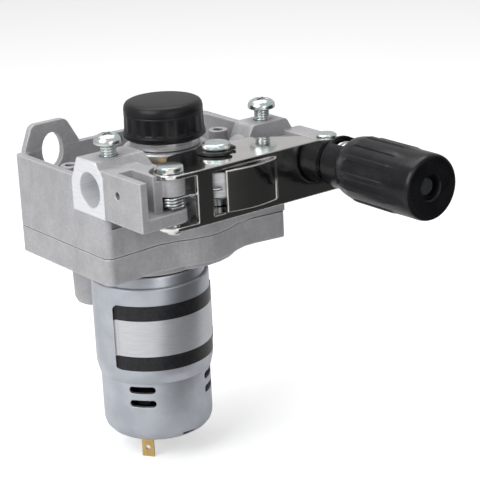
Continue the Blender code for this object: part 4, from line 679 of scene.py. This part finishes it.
camera()
studio()
CAST, NICKEL, ZINC, STEEL = cast_aluminium(), bright_nickel(), zinc_plate(), ground_steel()
CAN, BLACK = can_steel(), black_plastic("black_plastic", 0.34)
GRIP_BLACK, LABEL = black_plastic("grip_plastic", 0.22), label_film()
BRASS = plain_metal("brass", (0.72, 0.50, 0.20), 0.3, 0.5 * MM, 0.01 * MM)
BRONZE = plain_metal("sintered_bronze", (0.46, 0.31, 0.17), 0.5, 0.3 * MM, 0.03 * MM)
COPPER = plain_metal("enamelled_copper", (0.60, 0.22, 0.08), 0.35, 0.5 * MM, 0.05 * MM)
FERRITE = plain_metal("ferrite", (0.09, 0.09, 0.10), 0.65, 0.4 * MM, 0.03 * MM, 0.1)
CARBON = plain_metal("carbon", (0.045, 0.045, 0.047), 0.6, 0.3 * MM, 0.03 * MM, 0.2)
SPRING = plain_metal("spring_steel", (0.66, 0.68, 0.69), 0.2, 0.4 * MM, 0.008 * MM)
BLACK_STEEL = plain_metal("black_steel", (0.03, 0.03, 0.032), 0.35, 0.4 * MM, 0.012 * MM, 0.6)

FINISH_OF_SLOT = {
    "cast_aluminium": CAST, "bright_nickel": NICKEL, "zinc_plate": ZINC,
    "ground_steel": STEEL, "can_steel": CAN, "black_plastic": BLACK,
    "black_steel": BLACK_STEEL, "brass": BRASS, "sintered_bronze": BRONZE,
    "copper": COPPER, "ferrite": FERRITE, "carbon": CARBON, "spring_steel": SPRING,
}


# ---------------------------------------------------------------- castings

def castings():
    settle(copy_of("housing", "housing_casting", 28), CAST, "housing")
    settle(copy_of("gear_cover", "cover_casting", 28), CAST, "gear_cover")
    for number in range(1, 5):
        settle(copy_of(f"cover_screw_{number}", f"cover_screw_{number}_socketed"), ZINC,
               f"cover_screw_{number}")


# ---------------------------------------------------------------- rolls and knob

def drive_rolls():
    roll = turned("drive_roll_grooved", [
        (4.1, 30.05), (15.5, 30.05), (16, 30.5), (16, 34.2), (15.2, 34.2), (15.2, 35.8),
        (16, 35.8), (16, 39.5), (15.5, 39.95), (4.1, 39.95)], ring=True)
    soften(roll, 0.12 * MM)
    smooth(roll)
    place(roll, DRIVE)
    settle(roll, STEEL, "drive_roll")

    collar = turned("roll_collar_turned", [
        (4.1, 40.15), (13.1, 40.15), (13.1, 43.2), (4.1, 43.2)], ring=True)
    soften(collar, 0.25 * MM)
    smooth(collar)
    place(collar, DRIVE)
    settle(collar, STEEL, "roll_collar")

    roller = turned("pressure_roller_ground", [
        (11.1, 30.05), (15.5, 30.05), (16, 30.55), (16, 39.45), (15.5, 39.95), (11.1, 39.95)],
        ring=True)
    soften(roller, 0.15 * MM)
    smooth(roller)
    place(roller, ROLLER)
    settle(roller, STEEL, "pressure_roller")

    bearing = turned("roller_bearing_races", [
        (4.1, 31.5), (6.2, 31.5), (6.2, 32), (9.4, 32), (9.4, 31.5), (11, 31.5), (11, 38.5),
        (9.4, 38.5), (9.4, 38), (6.2, 38), (6.2, 38.5), (4.1, 38.5)], MEDIUM, ring=True)
    soften(bearing, 0.12 * MM)
    smooth(bearing)
    place(bearing, ROLLER)
    settle(bearing, STEEL, "roller_bearing")


def roll_knob():
    """The knob has shallow upright flutes between a flared foot and a crowned top."""
    flutes, per_flute = 22, 6
    sides = flutes * per_flute
    knob = turned("roll_knob_fluted", [
        (7.7, 43.35), (14.7, 43.35), (15.5, 44.1), (15.45, 45.4), (15.2, 45.7),
        (15.15, 46.2), (15.1, 46.6), (14.95, 51.8), (14.92, 52.3), (14.9, 52.6), (14.75, 52.8),
        (14.75, 53.3), (14.9, 53.5), (14.85, 54.6), (14.6, 55.7), (14.05, 56.5), (13.1, 57.0),
        (11.8, 57.2), (2.0, 57.1)], sides)
    for share, columns in ((0.992, (1, 5)), (0.983, (2, 4)), (0.980, (3,))):
        swell(knob, share, lambda point, columns=columns: 46.4 * MM < point.z < 52 * MM
              and column(point, sides) % per_flute in columns)
    smooth(knob, 28)
    place(knob, DRIVE)
    settle(knob, BLACK, "roll_knob")


# ---------------------------------------------------------------- pressure arm

def pressure_arm():
    settle(copy_of("pressure_arm", "pressure_arm_plated", 25), NICKEL, "pressure_arm")

    pin = turned("pivot_pin_headed", [
        (1.2, 19.5), (2.3, 20.0), (3, 21.0), (3, 43.1), (4.55, 43.1), (4.7, 43.3),
        (4.7, 44.9), (4.4, 45.25), (3.9, 45.4)], MEDIUM)
    smooth(pin)
    place(pin, PIVOT)
    settle(pin, ZINC, "pivot_pin")

    head = turned("roller_pin_knurled", [
        (3.4, 20.8), (4, 21.4), (4, 42.9), (3.2, 43.0), (3.2, 44.35), (4.8, 44.4),
        (5.1, 44.65), (5.1, 46.1), (4.75, 46.5), (4.3, 46.7)], FINE)
    swell(head, 0.955, lambda point: 44.6 * MM < point.z < 46.3 * MM
          and column(point, FINE) % 2 == 1)
    smooth(head, 18)
    place(head, ROLLER)
    settle(head, ZINC, "roller_pin")
    settle(copy_of("roller_clip", "roller_clip_open"), BLACK_STEEL, "roller_clip")
    for name in ("roller_spacer_upper", "roller_spacer_lower"):
        settle(copy_of(name, name + "_turned"), ZINC, name)

    spring = coil("torsion_spring_wound", coil_radius=4.4, wire_radius=0.52, pitch=1.09,
                  turns=3, legs=([(0, -3.4, 0)],
                                 [(0, 5, 0), (0, 8.9, 0), (1.3, 2.1, 0), (0.3, 1.5, 0)]))
    place(spring, (PIVOT[0], PIVOT[1], 30.8 * MM), (0, 0, -90))
    settle(spring, SPRING, "torsion_spring")


# ---------------------------------------------------------------- tension handle

def tension_handle():
    settle(copy_of("tension_rod", "tension_rod_eyed"), ZINC, "tension_rod")

    pin = turned("hinge_pin_headed", [
        (2, 24.2), (2, 41.15), (3.7, 41.15), (3.9, 41.35), (3.9, 42.2), (3.3, 42.7)], MEDIUM)
    smooth(pin)
    place(pin, (HINGE[0], HINGE[1], 0))
    settle(pin, ZINC, "hinge_pin")

    settle(copy_of("tension_sleeve", "tension_sleeve_smooth", 40), GRIP_BLACK,
           "tension_sleeve")

    low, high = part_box("tension_spring")
    coil_radius, wire_radius, turns = 7.3, 0.8, 14
    washer_play = 1.1  # millimetres that the tension knob's travel leaves to the spring
    span = (high.y - low.y) / MM
    pitch = (span - 2 * wire_radius - washer_play) / turns
    spring = coil("tension_spring_wound", coil_radius, wire_radius, pitch, turns)
    place(spring, (HINGE[0], high.y - wire_radius * MM, HINGE[2]), ALONG_ROD)
    settle(spring, SPRING, "tension_spring")
    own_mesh(spring)

    ribs, per_rib, rib_width = 12, 16, 5
    sides = ribs * per_rib
    grip = turned("tension_knob_ribbed", [
        (10.35, 17), (10.7, 17), (11.15, 17.5), (11.6, 19.2), (11.95, 21.4), (12.1, 22.6),
        (12.1, 23.2), (12.1, 24.2), (12.1, 42.6), (12.1, 43.6), (12.1, 44.6), (12.1, 50.5),
        (12.1, 54.4), (12.0, 55.3), (11.7, 56.0), (11.1, 56.4), (10.4, 56.5), (9.7, 56.2),
        (4.9, 55.9), (4.5, 55.5), (4.5, 50.2), (6.2, 50.2), (6.2, 43.95), (10.35, 43.95)],
        sides, ring=True)
    for share, rows in ((1.036, (24.0, 43.0)), (1.024, (23.0, 43.8)), (1.01, (22.4, 44.8))):
        swell(grip, share, lambda point, rows=rows:
              11.95 * MM < hypot(point.x, point.y) < 12.15 * MM
              and rows[0] * MM < point.z < rows[1] * MM
              and column(point, sides) % per_rib in range(rib_width))
    smooth(grip, 28)
    place(grip, HINGE, ALONG_ROD)
    settle(grip, GRIP_BLACK, "tension_knob")
    for name in ("tension_nut", "thrust_washer"):
        settle(copy_of(name, name + "_plated"), ZINC, name)


# ---------------------------------------------------------------- clamp screws

def clamp_screws():
    """Each screw has a cross in its head. Low is its head's underside in millimetres."""
    for name, x, low in (("clamp_screw_inlet", INLET_SCREW_X, 50.5),
                         ("clamp_screw_outlet", OUTLET_SCREW_X, 50.2)):
        screw = turned(name + "_headed", [
            (2.1, 41), (2.55, 41.5), (2.55, low), (4.9, low), (5.2, low + 0.25),
            (5.2, low + 1.1), (5.0, low + 1.9), (4.3, low + 2.75), (3.3, low + 3.3),
            (2.2, low + 3.6)], MEDIUM)
        for turn in (20, 110):
            cut(screw, mm(5.2, 1.1, 3.2), mm(0, 0, low + 3.6), (0, 0, turn))
        smooth(screw, 30)
        thread = coil(name + "_thread", coil_radius=2.5, wire_radius=0.5, pitch=1.0,
                      turns=low - 41.8, steps=28, wire_sides=6)
        place(thread, (0, 0, 41.5 * MM))
        unite(screw, thread)
        place(screw, (x, 0, 0))
        settle(screw, ZINC, name)


# ---------------------------------------------------------------- motor

def motor_can():
    """The can, with its screw holes, terminal slots, rim notches and vents."""
    can = turned("motor_can_drawn", [
        (4.8, -3.8), (4.8, 1.5), (6.4, 1.5), (6.4, -2.3), (19.8, -2.3), (20.6, -2.6),
        (CAN_RADIUS, -3.5), (CAN_RADIUS, -63.4), (20.85, -65.0), (20.3, -66.6), (19.2, -67.9),
        (17.8, -68.8),
        (15, -69.2), (9, -69.3), (9, -68.8), (15, -68.7), (17.75, -68.45), (18.7, -67.3),
        (19.3, -66.0), (19.5, -63.2), (19.5, -3.8)], ring=True)
    screw_angles, terminal_angles = (60, 240), (-145, 35)
    notch_angles, vent_angles = (-191, -90, -11, 90), (-139.4, -49.4, 40.6, 130.6)
    vent_length, vent_width, vent_heights = 10.2, 2.9, (-47.25, -52.75)
    for angle in screw_angles:
        cut(can, mm(4.2, 4.2, 4), around(14.5, angle, -3))
    for angle in terminal_angles:
        cut(can, mm(1.5, 5.4, 3), around(13.4, angle, -69), (0, 0, angle))
    for angle in notch_angles:
        cut(can, mm(6, 5.5, 2.4), around(CAN_RADIUS, angle, -67.6), (0, 0, angle))
    for angle in vent_angles:
        for height in vent_heights:
            cut_slot(can, vent_length, vent_width, CAN_RADIUS, height, angle)
    smooth(can, 28)
    place(can, MOTOR)
    settle(can, CAN, "motor_can")


def flux_ring():
    ring = turned("flux_ring_rolled", [
        (21.05, -44.5), (21.5, -44.5), (22.4, -40.6), (22.4, -7.0), (22.0, -6.5),
        (21.05, -6.5)], FINE, ring=True)
    soften(ring, 0.15 * MM)
    smooth(ring, 25)
    place(ring, MOTOR)
    settle(ring, CAN, "flux_ring")


def label():
    """A section of the film, spun round the motor, with its four corners rounded."""
    deselect()
    bpy.ops.mesh.primitive_plane_add(size=1, location=(LABEL_RADIUS, 0, LABEL_MIDDLE),
                                     rotation=(radians(90), 0, 0))
    film = bpy.context.object
    film.name = "motor_label"
    film.scale = (LABEL_THICKNESS, LABEL_HEIGHT, 1)
    bpy.ops.object.transform_apply(location=True, rotation=True, scale=True)
    edit(film)
    bpy.ops.mesh.spin(steps=40, angle=radians(LABEL_ARC), center=(0, 0, 0), axis=(0, 0, 1))
    bpy.ops.object.mode_set(mode="OBJECT")
    close(film)

    def at_a_corner(point):
        past_end = abs(atan2(point.y, point.x)) - radians(LABEL_ARC)
        past_edge = abs(point.z - LABEL_MIDDLE) - LABEL_HEIGHT / 2
        return abs(past_edge) < ROUNDING and min(abs(point.y), abs(past_end)) < ROUNDING

    edit(film, at_a_corner)
    bpy.ops.mesh.bevel(offset=LABEL_CORNER, segments=4, affect="EDGES")
    bpy.ops.object.mode_set(mode="OBJECT")
    smooth(film, 30)
    place(film, MOTOR, (0, 0, LABEL_START))
    beside(film, LABEL, "flux_ring")


def motor():
    motor_can()
    flux_ring()
    label()
    settle(copy_of("motor_end_cap", "motor_end_cap_moulded"), BLACK, "motor_end_cap")
    for name in ("motor_bush_lower", "motor_bush_upper"):
        settle(copy_of(name, name + "_pressed"), BRONZE, name)
    for name in ("terminal_1", "terminal_2"):
        settle(copy_of(name, name + "_tab"), BRASS, name)


def remaining_nodes():
    """The CAD nodes that are still shown keep their shape and get this file's finishes."""
    for name, node in frame["nodes"].items():
        if node.hide_render:
            continue
        node.data.materials.clear()
        node.data.materials.append(FINISH_OF_SLOT[SLOT_OF[name]])


castings()
drive_rolls()
roll_knob()
pressure_arm()
tension_handle()
clamp_screws()
motor()
remaining_nodes()

FLOOR_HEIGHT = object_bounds()[0].z - 0.05 * MM
FLOOR_SIZE = 6
stage_sheet("floor", (0, 0, FLOOR_HEIGHT), None, FLOOR_SIZE, FLOOR_SIZE, floor_paint())
mirror_card("low_card", (0.33, -0.46, FLOOR_HEIGHT + 2 * MM), None, 0.85, 0.8)
mirror_card("front_card", (0.36, -0.62, 0.05), (-0.03, 0, 0.02), 1.1, 0.36)
